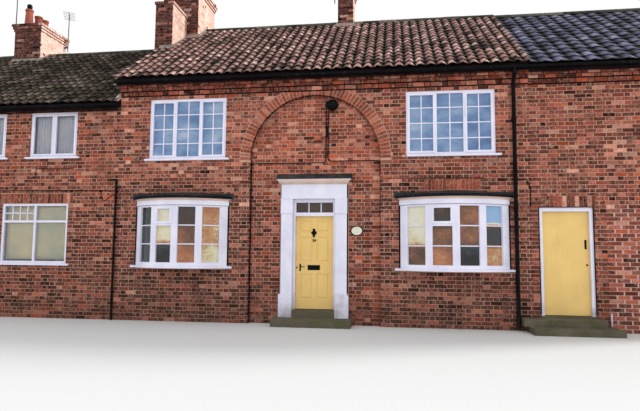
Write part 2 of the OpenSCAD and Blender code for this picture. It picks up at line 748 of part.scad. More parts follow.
module bow_window_frames() color(white_paint) {
    bow_frame(-bow_l_x, bow_l_w);
    bow_frame(bow_r_x, bow_r_w);
}
module bow_pane(xc, c) difference() {
    bow_ring(xc, c, -52, -52 + glass_t, bow_sill_z + bow_rail - 8, bow_head_z - 32);
    bow_frame(xc, c);
}
module bow_glass() color(glass_tint) {
    bow_pane(-bow_l_x, bow_l_w);
    bow_pane(bow_r_x, bow_r_w);
}
// Curved fascia board and hollow moulding, turned about the bow's axis
bow_fillet_h = 18;
bow_flare_h = 60;
bow_cornice_top = bow_head_z + bow_fascia_h + bow_flare_h + bow_fillet_h;
module bow_cornice(xc, c) {
    R = bow_radius(c);
    face = R + bow_fascia_p;
    foot = bow_head_z + bow_fascia_h;
    hollow = [for (p = arc(bow_flare, 0, bow_flare, 180, 90, 6)) [face + p[0], foot + p[1] * bow_flare_h / bow_flare]];
    intersection() {
        translate([xc, R - bow_p, 0]) rotate_extrude($fn = 180) polygon(concat(
            [[R - bow_frame_t, bow_head_z], [face, bow_head_z]], hollow,
            [[face + bow_flare, bow_cornice_top], [R - bow_frame_t, bow_cornice_top]]));
        block([xc - 2000, -1000, bow_head_z - 1], [xc + 2000, 0, bow_cornice_top + 20]);
    }
}
module bow_window_cornices() color(white_paint) {
    bow_cornice(-bow_l_x, bow_l_w);
    bow_cornice(bow_r_x, bow_r_w);
}
// Lead: a shallow cone over each bow with a drip edge, and a sloping cap over the door cornice
drip_h = 22;
module bow_lead(xc, c) {
    R = bow_radius(c);
    z = bow_cornice_top;
    out = R + bow_fascia_p + bow_flare;
    in = R - bow_p - 10;
    intersection() {
        translate([xc, R - bow_p, 0]) rotate_extrude($fn = 180) polygon([[in, z], [out, z], [out, z - drip_h],
            [out + bow_drip, z - drip_h], [out + bow_drip, z + drip_h], [in, z + drip_h + (out - in) * lead_fall]]);
        block([xc - 2000, -1000, z - 30], [xc + 2000, 0, z + 300]);
    }
}
door_lead_z = cornice_z + cornice_h;
cap_edge_h = 60;
cap_back_h = 130;
module door_lead() {
    y0 = recess_d - pil_p - cornice_p - bow_drip;
    half = pil_out + cornice_p + bow_drip;
    along_x(-half, half) polygon([[recess_d, door_lead_z], [y0, door_lead_z], [y0, door_lead_z + cap_edge_h],
        [recess_d, door_lead_z + cap_back_h]]);
}
module lead_roofs() color(lead) {
    bow_lead(-bow_l_x, bow_l_w);
    bow_lead(bow_r_x, bow_r_w);
    door_lead();
}

// Timber sills on the brick face, and the curved bow sills
module sill(xc, w, z) { block([xc - w / 2 - sill_horn, -sill_p, z - sill_t], [xc + w / 2 + sill_horn, 0, z]); }
module window_sills() color(white_paint) {
    for (b = [[-bow_l_x, bow_l_w], [bow_r_x, bow_r_w]])
        bow_ring(b[0], b[1], -bow_frame_t - 20, 45, bow_sill_z - sill_t, bow_sill_z);
    sill(-up_x, up_l_w, up_z);
    sill(up_x, up_r_w, up_z);
    for (x = left_up_x) sill(x, left_up_w, left_up_z);
    for (x = left_low_x) sill(x, left_low_w, left_low_z);
    sill(right_win_x, right_win_w, up_z);
    sill(right_win_x, right_win_w, bow_sill_z);
    mirror_front_to_rear() for (i = [0:2]) {
        for (x = rear_up_x[i]) sill(x, rear_win_w, rear_up_z);
        for (x = rear_low_x[i]) sill(x, rear_win_w, rear_low_z);
    }
}

// Door surround: plinth blocks, pilasters with necking bands, frieze and flared cornice
pil_y = recess_d - pil_p;
module pilaster(s) {
    x0 = s < 0 ? -pil_out : pil_in;
    x1 = s < 0 ? -pil_in : pil_out;
    block([x0, pil_y, step_h], [x1, recess_d, frieze_z]);
    block([x0 - (s < 0 ? plinth_out : 8), pil_y - 25, step_h], [x1 + (s < 0 ? 8 : plinth_out), recess_d, plinth_z]);
    block([x0 - 8, pil_y - 10, cap_z], [x1 + 8, recess_d, frieze_z - 10]);
    for (z = [cap_z - 14, frieze_z - 14]) block([x0 - 14, pil_y - 16, z], [x1 + 14, recess_d, z + 14]);
}
cornice_line = arc(cornice_p, 0, cornice_p, 180, 110, 7);
module door_cornice() {
    y0 = recess_d - pil_p;
    k = cornice_h / (cornice_p * sin(110));
    side = [for (p = cornice_line) [pil_out + p[0], cornice_z + p[1] * k]];
    top = [[pil_out + cornice_p, cornice_z + cornice_h - 22], [pil_out + cornice_p, door_lead_z]];
    right = concat([for (p = side) if (p[1] < cornice_z + cornice_h - 22) p], top);
    left = [for (i = [len(right) - 1:-1:0]) [-right[i][0], right[i][1]]];
    front = [for (p = right) [y0 - (p[0] - pil_out), p[1]]];
    intersection() {
        along_y(-400, recess_d) polygon(concat(right, left));
        along_x(-1200, 1200) polygon(concat(front, [[recess_d, door_lead_z], [recess_d, cornice_z]]));
    }
}
module door_surround() color(white_paint) {
    pilaster(-1);
    pilaster(1);
    block([-pil_out, pil_y, frieze_z], [pil_out, recess_d, cornice_z]);
    door_cornice();
}

// Frames with a stop that the leaf closes against; the leaf lies door_gap clear of both
leaf_z = floor_z + door_foot;
fan_half = 400;
stop_lap = 16;
jamb_in = door_w / 2 + door_gap;
module door_frame(xc, half_open, head, lw, back, top) {
    half = lw / 2 + door_gap;
    y_stop = back - door_gap;
    leaf_head = top;
    for (s = [-1, 1]) {
        x0 = s < 0 ? xc - half_open : xc + half;
        x1 = s < 0 ? xc - half : xc + half_open;
        block([x0, y_stop - 70, floor_z], [x1, back + leaf_t, head]);
        block([s < 0 ? x0 : x0 - stop_lap, y_stop - 70, floor_z], [s < 0 ? x1 + stop_lap : x1, y_stop, head]);
    }
    block([xc - half_open, y_stop - 70, leaf_head], [xc + half_open, back + leaf_t, leaf_head + 60]);
    block([xc - half_open, y_stop - 70, leaf_head - stop_lap], [xc + half_open, y_stop, leaf_head + 60]);
}
module front_door_frame() color(white_paint) {
    top = leaf_z + door_h + door_gap;
    difference() {
        union() {
            door_frame(0, door_open_w / 2, door_open_z, door_w, leaf_back, top);
            block([-door_open_w / 2, leaf_back - door_gap - 70, top], [door_open_w / 2, leaf_back + leaf_t, door_open_z]);
        }
        block([-fan_half, 0, fan_z], [fan_half, wall_t, fan_z + fan_h]);
    }
}
side_head = side_open_z - 60;
side_leaf_top = side_head - door_gap;
module side_door_frame() color(white_paint)
    door_frame(side_x, side_open_w / 2, side_open_z, side_w, side_back, side_head);

// Six-panel leaf: sunk panels with a raised field on the outer face
panel_edge = 105;
panel_mid = 60;
panel_rows = [[0.075, 0.295], [0.375, 0.700], [0.765, 0.945]];
module front_door() color(yellow_paint) difference() {
    block([-door_w / 2, leaf_back, leaf_z], [door_w / 2, leaf_back + leaf_t, leaf_z + door_h]);
    for (r = panel_rows, s = [-1, 1]) {
        x0 = s < 0 ? -door_w / 2 + panel_edge : panel_mid / 2;
        x1 = s < 0 ? -panel_mid / 2 : door_w / 2 - panel_edge;
        z0 = leaf_z + r[0] * door_h;
        z1 = leaf_z + r[1] * door_h;
        difference() {
            block([x0, leaf_back - 1, z0], [x1, leaf_back + 10, z1]);
            block([x0 + 28, leaf_back + 3, z0 + 28], [x1 - 28, leaf_back + 11, z1 - 28]);
        }
    }
}
// Knocker, letter plate, lever handle on its plate, keyhole cover
module front_door_furniture() color(black_paint) {
    y = leaf_back;
    translate([0, y, leaf_z + 1685]) rotate([90, 0, 0]) {
        cylinder(r = 38, h = 14);
        translate([0, 55, 0]) cylinder(r = 22, h = 12);
        translate([0, -55, 0]) cylinder(r = 24, h = 26);
        translate([-14, -60, 0]) cube([28, 120, 10]);
    }
    block([-135, y - 8, leaf_z + 920], [125, y, leaf_z + 1010]);
    block([-315, y - 8, leaf_z + 860], [-285, y, leaf_z + 1050]);
    translate([-300, y, leaf_z + 985]) rotate([90, 0, 0]) cylinder(r = 11, h = 50);
    block([-312, y - 58, leaf_z + 975], [-200, y - 42, leaf_z + 993]);
    translate([-375, y, leaf_z + 950]) rotate([90, 0, 0]) cylinder(r = 18, h = 6);
}
// Plain plank leaf
module side_door() color(yellow_paint) {
    block([side_x - side_w / 2, side_back, leaf_z], [side_x + side_w / 2, side_back + leaf_t, side_leaf_top]);
}

// Butt hinges: the barrel lies behind the gap between leaf and jamb, its middle knuckle on the leaf
hinge_r = 7;
hinge_h = 100;
hinge_plate = 2;
knuckle_gap = 0.3;
hinge_levels = [0.09, 0.50, 0.87];
module hinge_half(xc, s, w, back, top, moving) {
    x = xc + s * (w / 2 + door_gap / 2);
    y = back + leaf_t + hinge_r + 1;
    span = top - leaf_z;
    for (f = hinge_levels) {
        z = leaf_z + f * span;
        if (moving) {
            translate([x, y, z + hinge_h / 3 + knuckle_gap]) cylinder(r = hinge_r, h = hinge_h / 3 - 2 * knuckle_gap);
            hinge_leaf(x - s * (door_gap / 2 - hinge_plate / 2), y, z + hinge_h / 3 + knuckle_gap,
                hinge_h / 3 - 2 * knuckle_gap);
        } else for (k = [0, 2]) {
            translate([x, y, z + k * hinge_h / 3]) cylinder(r = hinge_r, h = hinge_h / 3);
            hinge_leaf(x + s * (door_gap / 2 - hinge_plate / 2), y, z + k * hinge_h / 3, hinge_h / 3);
        }
    }
}
module hinge_leaf(x, y, z, h) { block([x - hinge_plate / 2, y - 38, z], [x + hinge_plate / 2, y - hinge_r / 2, z + h]); }
steel = [0.55, 0.53, 0.50];
module jamb_hinges() color(steel) {
    hinge_half(0, 1, door_w, leaf_back, leaf_z + door_h, false);
    hinge_half(side_x, -1, side_w, side_back, side_leaf_top, false);
}
module front_door_hinges() color(steel) hinge_half(0, 1, door_w, leaf_back, leaf_z + door_h, true);
module side_door_hinges() color(steel) hinge_half(side_x, -1, side_w, side_back, side_leaf_top, true);

// Thresholds in the openings and the stone steps outside
side_step_r = side_x + 600;
module door_steps() color(stone) {
    block([-step_w / 2, -step_d, 0], [step_w / 2, recess_d, step_h]);
    block([-door_open_w / 2, recess_d, 0], [door_open_w / 2, wall_t, floor_z]);
    block([-pil_in + 8, 0, step_h], [pil_in - 8, recess_d, floor_z - 12]);
    block([side_l, 0, 0], [side_r, wall_t, floor_z]);
    block([side_step_r - side_step_w, -side_step_d, side_low_h], [side_step_r, 0, floor_z - 40]);
    block([side_x - side_low_w / 2, -side_low_d, 0], [side_x + side_low_w / 2, 0, side_low_h]);
}

// Doors that the photograph doesn't show: plain fixed leaves in their frames
module plain_door(xc, w) {
    block([xc - w / 2, frame_back + 60, floor_z], [xc + w / 2, frame_back + 60 + leaf_t, floor_z + plain_door_h]);
    difference() {
        block([xc - w / 2, frame_back, floor_z], [xc + w / 2, frame_back + 61, floor_z + plain_door_h]);
        block([xc - w / 2 + frame_w, 0, floor_z - 1], [xc + w / 2 - frame_w, wall_t, floor_z + plain_door_h - frame_w]);
    }
}
module fixed_doors() color(white_paint) {
    plain_door(left_door_x, left_door_w);
    mirror_front_to_rear() for (x = rear_door_x) plain_door(x, rear_door_w);
}

// Lamp high in the recess, with its cable clipped to the brick face
lamp_x = 365;
lamp_z = 4620;
cable_x = 265;
cable_z = 3450;
cable_r = 9;
module wall_lamp() color(black_paint) {
    yb = recess_d;
    translate([lamp_x, yb, lamp_z]) rotate([90, 0, 0]) {
        cylinder(r = 70, h = 30);
        cylinder(r = 28, h = 70);
    }
    translate([lamp_x, yb - 130, lamp_z - 70]) cylinder(r1 = 120, r2 = 75, h = 140);
    block([cable_x - cable_r, yb - 2 * cable_r, cable_z], [cable_x + cable_r, yb, lamp_z]);
    block([cable_x - cable_r, yb - 2 * cable_r, lamp_z - cable_r], [lamp_x, yb, lamp_z + cable_r]);
    block([1 - arch_r, yb - 2 * cable_r, cable_z - cable_r], [arch_r - 1, yb, cable_z + cable_r]);
}

front_wall_left();
front_wall_right();
recess_wall_left();
recess_wall_right();
recess_wall_over_door();
arch_front_leaf();
left_house_front_wall();
side_door_pier();
right_house_front_wall();
wall_over_side_door();
party_wall_left_end();
party_wall_left_main();
party_wall_main_right();
party_wall_right_end();
rear_wall_left_house();
rear_wall_main_house();
rear_wall_right_house();
ground_floors();
first_floors();
left_roof_front();
left_roof_rear();
main_roof_front();
main_roof_rear();
right_roof_front();
right_roof_rear();
ridge_tiles();
eaves_courses();
chimney_left_house();
chimney_party_wall_front();
chimney_party_wall_back();
chimney_main_house();
chimney_pots();
tv_aerials();
gutters();
downpipes();
upper_window_frames();
bow_window_frames();
bow_window_cornices();
lead_roofs();
window_sills();
neighbour_window_frames();
rear_window_frames();
upper_glass();
lower_glass();
bow_glass();
door_surround();
front_door_frame();
side_door_frame();
door_steps();
fixed_doors();
wall_lamp();
jamb_hinges();
front_door();
front_door_furniture();
front_door_hinges();
side_door();
side_door_hinges();
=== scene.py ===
"""Looks of the terraced house row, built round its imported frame, in metres."""
import math

import bmesh
import bpy
import numpy as np
from mathutils import Matrix, Vector


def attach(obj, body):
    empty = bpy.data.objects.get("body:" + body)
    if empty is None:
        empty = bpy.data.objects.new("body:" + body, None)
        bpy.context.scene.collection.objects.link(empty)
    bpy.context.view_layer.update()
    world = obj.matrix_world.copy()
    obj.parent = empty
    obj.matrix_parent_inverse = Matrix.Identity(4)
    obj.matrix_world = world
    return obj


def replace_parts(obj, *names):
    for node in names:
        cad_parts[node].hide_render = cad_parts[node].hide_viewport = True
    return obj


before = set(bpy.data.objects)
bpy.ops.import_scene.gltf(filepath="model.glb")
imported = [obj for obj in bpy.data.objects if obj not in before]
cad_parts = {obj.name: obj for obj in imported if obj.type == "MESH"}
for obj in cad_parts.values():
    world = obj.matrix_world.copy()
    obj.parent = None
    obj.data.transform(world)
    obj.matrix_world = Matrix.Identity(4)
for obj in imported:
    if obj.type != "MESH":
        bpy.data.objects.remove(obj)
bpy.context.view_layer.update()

draws = np.random.default_rng(11)

# Sizes that the bricks and tiles keep to, the same as in the frame
DEPTH = 7.1
WALL = 0.34
PITCH = math.radians(35)
EAVES_OVER = 0.15
SLAB = 0.13 / math.cos(PITCH)
MAIN_L, MAIN_R = -4.43, 4.40
ROW_L, ROW_R = -11.24, 8.45
EAVES = {"left": 4.82, "main": 5.36, "right": 5.33}
ARCH_R, SPRING = 1.405, 3.48
RECESS = 0.11
# How far the main roof laps over the side wall of the main house
ROOF_LAP = 0.05
# The ring of bricks round the arch, the flat arches over openings, and the sills under windows
RING = 0.232
ARCH_RISE, ARCH_REACH = 0.235, 0.11
SILL_TALL, SILL_REACH = 0.045, 0.09
OPEN_JOINT = 0.016
# Height over which the bricks of the fronts are lighter
LIGHT_FROM = {"left": 2.7, "main": 2.9}
SPANS = {"left": (ROW_L, MAIN_L), "main": (MAIN_L, MAIN_R), "right": (MAIN_R, ROW_R)}
# Repaired patch of the right house's wall: left, right, foot, top
REPAIR = (5.80, 8.46, 0.0, 2.48)
# Openings of the windows: middle, width, foot, head
UPPER_WINDOWS = [(-2.838, 1.76, 3.54, 4.88), (2.838, 1.80, 3.54, 4.88)]
LEFT_UPPER = [(x, 1.15, 3.63, 4.66) for x in (-6.05, -7.83, -9.61)]
LEFT_LOWER = [(x, 1.63, 1.21, 2.56) for x in (-6.42, -9.70)]
RIGHT_WINDOWS = [(7.35, 1.10, 3.54, 4.74), (7.35, 1.10, 1.19, 2.39)]
REAR_UPPER = [(x, 1.2, 3.60, 4.63 if x < MAIN_L else 4.75) for x in (-9.535, -6.135, -2.7, 0.0, 2.7, 6.425)]
REAR_LOWER = [(x, 1.2, 1.25, 2.40) for x in (-9.535, -2.7, 2.7, 5.575)]
# Eaves courses from the lowest up: height and projection
EAVES_COURSES = {
    "left": [(0.064, 0.0225)],
    "main": [(0.105, 0.0225), (0.080, 0.045), (0.132, 0.045)],
    "right": [(0.105, 0.0225), (0.080, 0.045), (0.120, 0.045)],
}
# Shafts of the chimneys: left, front, right, back, top
STACKS = {
    "party_front": (-4.62, 1.95, -4.14, 2.89, 8.17),
    "party_back": (-4.84, 2.89, -3.80, 4.21, 9.07),
    "main": (0.145, 3.31, 0.57, 3.99, 9.02),
    "left": (-9.65, 3.10, -8.80, 4.32, 8.295),
}


def roof_top(eaves, y):
    return eaves + (min(y, DEPTH - y) + EAVES_OVER) * math.tan(PITCH)


def roof_under(eaves, y):
    return roof_top(eaves, y) - SLAB


def corbel_foot(house):
    return roof_under(EAVES[house], 0) - OPEN_JOINT - sum(course[0] for course in EAVES_COURSES[house])


# Colours are written as they show in the photograph, 0 to 255
def paint(red, green, blue):
    levels = []
    for value in (red, green, blue):
        share = value / 255
        levels.append(share / 12.92 if share <= 0.04045 else ((share + 0.055) / 1.055) ** 2.4)
    return (*levels, 1)


# Short ways to place shader nodes
def node(tree, kind, values=None, **settings):
    made = tree.nodes.new(kind)
    for name, value in settings.items():
        setattr(made, name, value)
    for name, value in (values or {}).items():
        if isinstance(value, bpy.types.NodeSocket):
            tree.links.new(value, made.inputs[name])
        else:
            made.inputs[name].default_value = value
    return made


def calc(tree, operation, first, second=0.0):
    return node(tree, "ShaderNodeMath", {0: first, 1: second}, operation=operation).outputs[0]


def fit(tree, value, low, high, to_low=0.0, to_high=1.0):
    values = {"Value": value, "From Min": low, "From Max": high, "To Min": to_low, "To Max": to_high}
    return node(tree, "ShaderNodeMapRange", values).outputs[0]


def mix(tree, factor, first, second, way="MIX"):
    """A colour is a socket, or three levels from 0 to 255."""
    first, second = [paint(*color) if isinstance(color, tuple) else color for color in (first, second)]
    made = node(tree, "ShaderNodeMix", {0: factor, 6: first, 7: second}, data_type="RGBA", blend_type=way)
    return made.outputs[2]


def cloud(tree, place, scale, detail=3.0, rough=0.55):
    values = {"Vector": place, "Scale": scale, "Detail": detail, "Roughness": rough}
    return node(tree, "ShaderNodeTexNoise", values).outputs[0]


def place_of(tree):
    return node(tree, "ShaderNodeTexCoord").outputs["Object"]


def stretched(tree, place, size):
    return node(tree, "ShaderNodeMapping", {"Vector": place, "Scale": size}).outputs[0]


def axis_of(tree, place, name):
    return node(tree, "ShaderNodeSeparateXYZ", {"Vector": place}).outputs[name]


def palette(tree, value, stops):
    made = node(tree, "ShaderNodeValToRGB", {"Fac": value})
    ramp = made.color_ramp
    while len(ramp.elements) < len(stops):
        ramp.elements.new(0.5)
    for element, (position, color) in zip(ramp.elements, stops):
        element.position = position
        element.color = paint(*color)
    return made.outputs[0]


def new_group(name, inputs, output):
    tree = bpy.data.node_groups.new(name, "ShaderNodeTree")
    for label, value in inputs.items():
        socket = tree.interface.new_socket(name=label, in_out="INPUT", socket_type="NodeSocketFloat")
        socket.default_value = value
    tree.interface.new_socket(name=output, in_out="OUTPUT", socket_type="NodeSocketFloat")
    return tree, tree.nodes.new("NodeGroupInput").outputs, tree.nodes.new("NodeGroupOutput").inputs[output]


def use(tree, group, **values):
    made = tree.nodes.new("ShaderNodeGroup")
    made.node_tree = group
    for name, value in values.items():
        made.inputs[name.replace("_", " ")].default_value = value
    return made.outputs[0]


# Patches of a second colour, with soft or sharp edges
def make_patches():
    inputs = {"Scale": 5.0, "Cover": 0.4, "Edge": 0.08, "Shift": 0.0}
    tree, given, result = new_group("patches", inputs, "Mask")
    moved = node(tree, "ShaderNodeCombineXYZ", {axis: given["Shift"] for axis in "XYZ"}).outputs[0]
    place = node(tree, "ShaderNodeVectorMath", {0: place_of(tree), 1: moved}, operation="ADD").outputs[0]
    value = cloud(tree, place, given["Scale"], 4.0, 0.6)
    level = fit(tree, given["Cover"], 0.0, 1.0, 0.72, 0.28)
    tree.links.new(fit(tree, value, level, calc(tree, "ADD", level, given["Edge"])), result)
    return tree


# Fine height of a rough surface
def make_grain():
    tree, given, result = new_group("grain", {"Scale": 120.0}, "Height")
    tree.links.new(cloud(tree, place_of(tree), given["Scale"], 5.0, 0.65), result)
    return tree


# Dirt that rises from the ground and fades out with a broken edge
def make_splash():
    tree, given, result = new_group("splash", {"Foot": 0.1, "Top": 0.9}, "Mask")
    place = place_of(tree)
    broken = calc(tree, "MULTIPLY", calc(tree, "SUBTRACT", cloud(tree, place, 2.6, 5.0), 0.5), 1.6)
    height = calc(tree, "ADD", axis_of(tree, place, "Z"), broken)
    tree.links.new(fit(tree, height, given["Foot"], given["Top"], 1.0, 0.0), result)
    return tree


# Rain streaks that run down a wall or a slope
def make_streaks():
    tree, given, result = new_group("streaks", {"Scale": 9.0, "Cover": 0.4}, "Mask")
    value = cloud(tree, stretched(tree, place_of(tree), (1, 1, 0.12)), given["Scale"], 4.0, 0.6)
    level = fit(tree, given["Cover"], 0.0, 1.0, 0.7, 0.3)
    tree.links.new(fit(tree, value, level, calc(tree, "ADD", level, 0.2)), result)
    return tree


PATCHES = make_patches()
GRAIN = make_grain()
SPLASH = make_splash()
STREAKS = make_streaks()


def surface_of(material):
    return material.node_tree.nodes["Principled BSDF"].inputs


def new_material(name, roughness):
    material = bpy.data.materials.new(name)
    material.use_nodes = True
    shader = material.node_tree.nodes["Principled BSDF"]
    shader.inputs["Roughness"].default_value = roughness
    return material, material.node_tree, shader


def color_to(tree, shader, color):
    tree.links.new(color, shader.inputs["Base Color"])


def bump_to(tree, shader, height, distance, strength=1.0):
    bump = node(tree, "ShaderNodeBump", {"Height": height, "Distance": distance, "Strength": strength})
    tree.links.new(bump.outputs[0], shader.inputs["Normal"])


def roughen(tree, shader, scale, distance, strength):
    bump_to(tree, shader, use(tree, GRAIN, Scale=scale), distance, strength)


def stain(tree, under, mask, strength, color):
    """Lays a colour over another one where the mask says."""
    return mix(tree, calc(tree, "MULTIPLY", mask, strength), under, color)


def within(tree, place, bounds):
    """1 inside the lowest and highest X, Y and Z, and 0 outside."""
    inside = 1.0
    for name, (low, high) in zip("XYZ", bounds):
        value = axis_of(tree, place, name)
        after = calc(tree, "GREATER_THAN", value, low)
        before = calc(tree, "LESS_THAN", value, high)
        inside = calc(tree, "MULTIPLY", calc(tree, "MULTIPLY", after, before), inside)
    return inside


def tone_parts(tree):
    tone = node(tree, "ShaderNodeAttribute", attribute_name="tone").outputs["Color"]
    return node(tree, "ShaderNodeSeparateColor", {"Color": tone}).outputs


LIME = (190, 148, 128)


# Weathered brick: each brick has its own tone, under specks, lime bloom, soot and splashed dirt; its second
# tone also carries painted shade in the arch's underside and the recess jambs, and painted sunlight on the
# stacks' right faces
def make_brick(name, stops, bloom, darken):
    material, tree, shader = new_material(name, 0.92)
    place, light_and_weather, warmth = tone_parts(tree)
    color = palette(tree, place, stops)
    spot = place_of(tree)
    for scale, low, high, speck in ((26.0, 0.42, 0.66, (204, 158, 136)), (17.0, 0.50, 0.68, (56, 26, 27))):
        color = mix(tree, fit(tree, cloud(tree, spot, scale, 4.0, 0.75), low, high, 0.0, 0.75), color, speck)
    color = mix(tree, warmth, color, (192, 94, 56))
    shade = fit(tree, light_and_weather, -0.5, 1.0, 0.04, 1.10)
    green, blue = calc(tree, "MULTIPLY", shade, 0.83), calc(tree, "MULTIPLY", shade, 0.84)
    gray = node(tree, "ShaderNodeCombineColor", {"Red": shade, "Green": green, "Blue": blue}).outputs[0]
    color = mix(tree, 1.0, color, gray, "MULTIPLY")
    color = stain(tree, color, use(tree, PATCHES, Scale=8.0, Cover=bloom, Edge=0.14), 0.62, LIME)
    soot = use(tree, PATCHES, Scale=1.1, Cover=0.42, Edge=0.3, Shift=7.0)
    color = stain(tree, color, soot, darken, (52, 34, 32))
    color = stain(tree, color, use(tree, SPLASH, Foot=-0.3, Top=1.5), 0.42, (56, 46, 38))
    color_to(tree, shader, color)
    roughen(tree, shader, 190.0, 0.004, 0.7)
    return material


# Mortar of the joints, paler in the repaired patch, and plaster on the faces that look into the rooms
def make_mortar(name, color):
    material, tree, shader = new_material(name, 0.95)
    place = place_of(tree)
    body = mix(tree, fit(tree, cloud(tree, place, 16.0, 5.0, 0.7), 0.3, 0.72, 0.0, 0.8), color, LIME)
    body = stain(tree, body, use(tree, PATCHES, Scale=2.2, Cover=0.5, Edge=0.25), 0.7, (74, 52, 48))
    body = stain(tree, body, use(tree, SPLASH, Foot=-0.2, Top=1.2), 0.5, (60, 50, 42))
    patched = within(tree, place, ((REPAIR[0], ROW_R + 1), (-1, 0.2), (-1, REPAIR[3])))
    body = stain(tree, body, patched, 0.75, (196, 166, 160))
    rooms = ((ROW_L + 0.22, ROW_R - 0.22), (WALL - 0.006, DEPTH - WALL + 0.006), (0.2, 5.1))
    plaster = mix(tree, cloud(tree, place, 3.0), (206, 198, 182), (186, 176, 158))
    color_to(tree, shader, mix(tree, within(tree, place, rooms), body, plaster))
    roughen(tree, shader, 240.0, 0.003, 0.5)
    return material


# Roof tile: its own tone, painted light on the crest and painted shade in the valleys and under the lap,
# under lichen, soot and moss
def make_tile(name, stops, lichen, moss, roughness):
    material, tree, shader = new_material(name, roughness)
    place, light_and_weather, green = tone_parts(tree)
    color = palette(tree, place, stops)
    pale = fit(tree, cloud(tree, place_of(tree), 11.0, 4.0, 0.65), 0.45, 0.7, 0.0, 0.45)
    color = mix(tree, pale, color, stops[-1][1])
    shade = fit(tree, light_and_weather, 0.22, 0.68, 0.02, 1.30)
    gray = node(tree, "ShaderNodeCombineColor", {"Red": shade, "Green": shade, "Blue": shade}).outputs[0]
    color = mix(tree, 1.0, color, gray, "MULTIPLY")
    spots = use(tree, PATCHES, Scale=26.0, Cover=lichen, Edge=0.06)
    color = stain(tree, color, calc(tree, "MULTIPLY", spots, light_and_weather), 0.75, (176, 168, 150))
    soot = use(tree, PATCHES, Scale=7.0, Cover=0.42, Edge=0.2, Shift=3.0)
    color = stain(tree, color, soot, 0.5, (40, 34, 33))
    mossy = calc(tree, "MULTIPLY", use(tree, PATCHES, Scale=9.0, Cover=0.6, Edge=0.14, Shift=11.0),
                 calc(tree, "ADD", green, moss))
    color = mix(tree, node(tree, "ShaderNodeClamp", {"Value": mossy}).outputs[0], color, (70, 76, 42))
    color_to(tree, shader, color)
    roughen(tree, shader, 150.0, 0.003, 0.5)
    return material


def make_coated(name, color, second, roughness, spots, dirt=0.0, dirt_top=0.7, scale=60.0, depth=0.0006):
    """Painted or plain surface with faint clouds, specks, streaks and dirt from the ground up."""
    material, tree, shader = new_material(name, roughness)
    body = mix(tree, fit(tree, cloud(tree, place_of(tree), 2.3, 5.0), 0.35, 0.65), color, second)
    body = stain(tree, body, use(tree, PATCHES, Scale=34.0, Cover=spots, Edge=0.08), 0.5, (126, 116, 104))
    body = stain(tree, body, use(tree, STREAKS, Scale=14.0, Cover=0.35), 0.12, (110, 104, 96))
    body = stain(tree, body, use(tree, SPLASH, Foot=-0.1, Top=dirt_top), dirt, (72, 64, 52))
    color_to(tree, shader, body)
    roughen(tree, shader, scale, depth, 0.5)
    return material


def new_glass(name, roughness, through):
    material, tree, shader = new_material(name, roughness)
    shader.inputs["Transmission Weight"].default_value = through
    shader.inputs["IOR"].default_value = 1.5
    return material, tree, shader


def make_glass(name, stops, through, scale=(1, 1, 1)):
    """Old panes: soft clouds of what they mirror."""
    material, tree, shader = new_glass(name, 0.03, through)
    place = stretched(tree, place_of(tree), scale)
    value = fit(tree, cloud(tree, place, 1.3, 3.0, 0.6), 0.3, 0.7)
    color_to(tree, shader, palette(tree, value, stops))
    bump_to(tree, shader, cloud(tree, place, 2.4, 1.0), 0.004, 0.35)
    return material


def make_bow_reflections():
    """Panes of the bow windows with painted reflections: each light has its own run of tones from its foot to
    its head.
    """
    material, tree, shader = new_glass("bow_glass", 0.04, 0.12)
    value = tone_parts(tree)[0]
    spot = place_of(tree)
    flat_spot = stretched(tree, spot, (1, 1, 2.4))
    for place, scale, rough, sway in ((spot, 3.4, 0.6, 0.46), (flat_spot, 24.0, 0.75, 0.44)):
        around = calc(tree, "SUBTRACT", cloud(tree, place, scale, 3.0, rough), 0.5)
        value = calc(tree, "ADD", value, calc(tree, "MULTIPLY", around, sway))
    color_to(tree, shader, palette(tree, value, [
        (0.0, (14, 14, 16)), (0.14, (48, 60, 66)), (0.28, (66, 48, 38)), (0.45, (132, 88, 64)),
        (0.6, (188, 122, 84)), (0.68, (194, 156, 106)), (0.75, (224, 214, 176)), (0.92, (236, 232, 212)),
        (1.0, (146, 182, 220))]))
    bump_to(tree, shader, cloud(tree, spot, 2.4, 1.0), 0.004, 0.3)
    return material


def make_cloth(name, color, second, weave):
    material, tree, shader = new_material(name, 0.95)
    place = place_of(tree)
    color_to(tree, shader, mix(tree, cloud(tree, place, 6.0), color, second))
    values = {"Vector": place, "Scale": weave, "Distortion": 0.6}
    bump_to(tree, shader, node(tree, "ShaderNodeTexWave", values, bands_direction="Z").outputs[0], 0.0006)
    return material


brick = make_brick("weathered_brick", [
    (0.0, (46, 22, 24)), (0.15, (80, 36, 35)), (0.35, (124, 55, 47)), (0.55, (156, 76, 58)),
    (0.75, (188, 116, 92)), (0.9, (214, 160, 134)), (1.0, (226, 190, 164))], 0.36, 0.35)
# Brick of the stacks: dark tones for the fronts, up to near white for the painted sunlight on their right
# faces
stack_brick = make_brick("sooty_brick_and_painted_sun", [
    (0.0, (36, 14, 18)), (0.25, (66, 24, 26)), (0.5, (110, 44, 38)), (0.7, (156, 86, 66)),
    (0.85, (206, 166, 138)), (1.0, (246, 232, 214))], 0.12, 0.5)
mortar = make_mortar("lime_mortar", (196, 152, 132))
stack_mortar = make_coated("stack_mortar", (92, 58, 56), (122, 90, 86), 0.95, 0.2)
painted_sunlit_mortar = make_coated("painted_sunlit_mortar", (232, 212, 192), (214, 190, 168), 0.95, 0.2)
pantile = make_tile("pink_pantile", [
    (0.0, (92, 64, 58)), (0.4, (126, 90, 82)), (0.75, (160, 120, 112)), (1.0, (204, 168, 160))],
    0.34, 0.04, 0.75)
old_tile = make_tile("dark_old_tile", [
    (0.0, (34, 28, 24)), (0.5, (60, 49, 45)), (0.85, (90, 76, 70)), (1.0, (126, 108, 100))], 0.3, 0.1, 0.9)
blue_tile = make_tile("blue_grey_tile", [(0.0, (54, 52, 72)), (0.5, (80, 80, 100)), (1.0, (120, 120, 140))],
                      0.12, 0.0, 0.7)
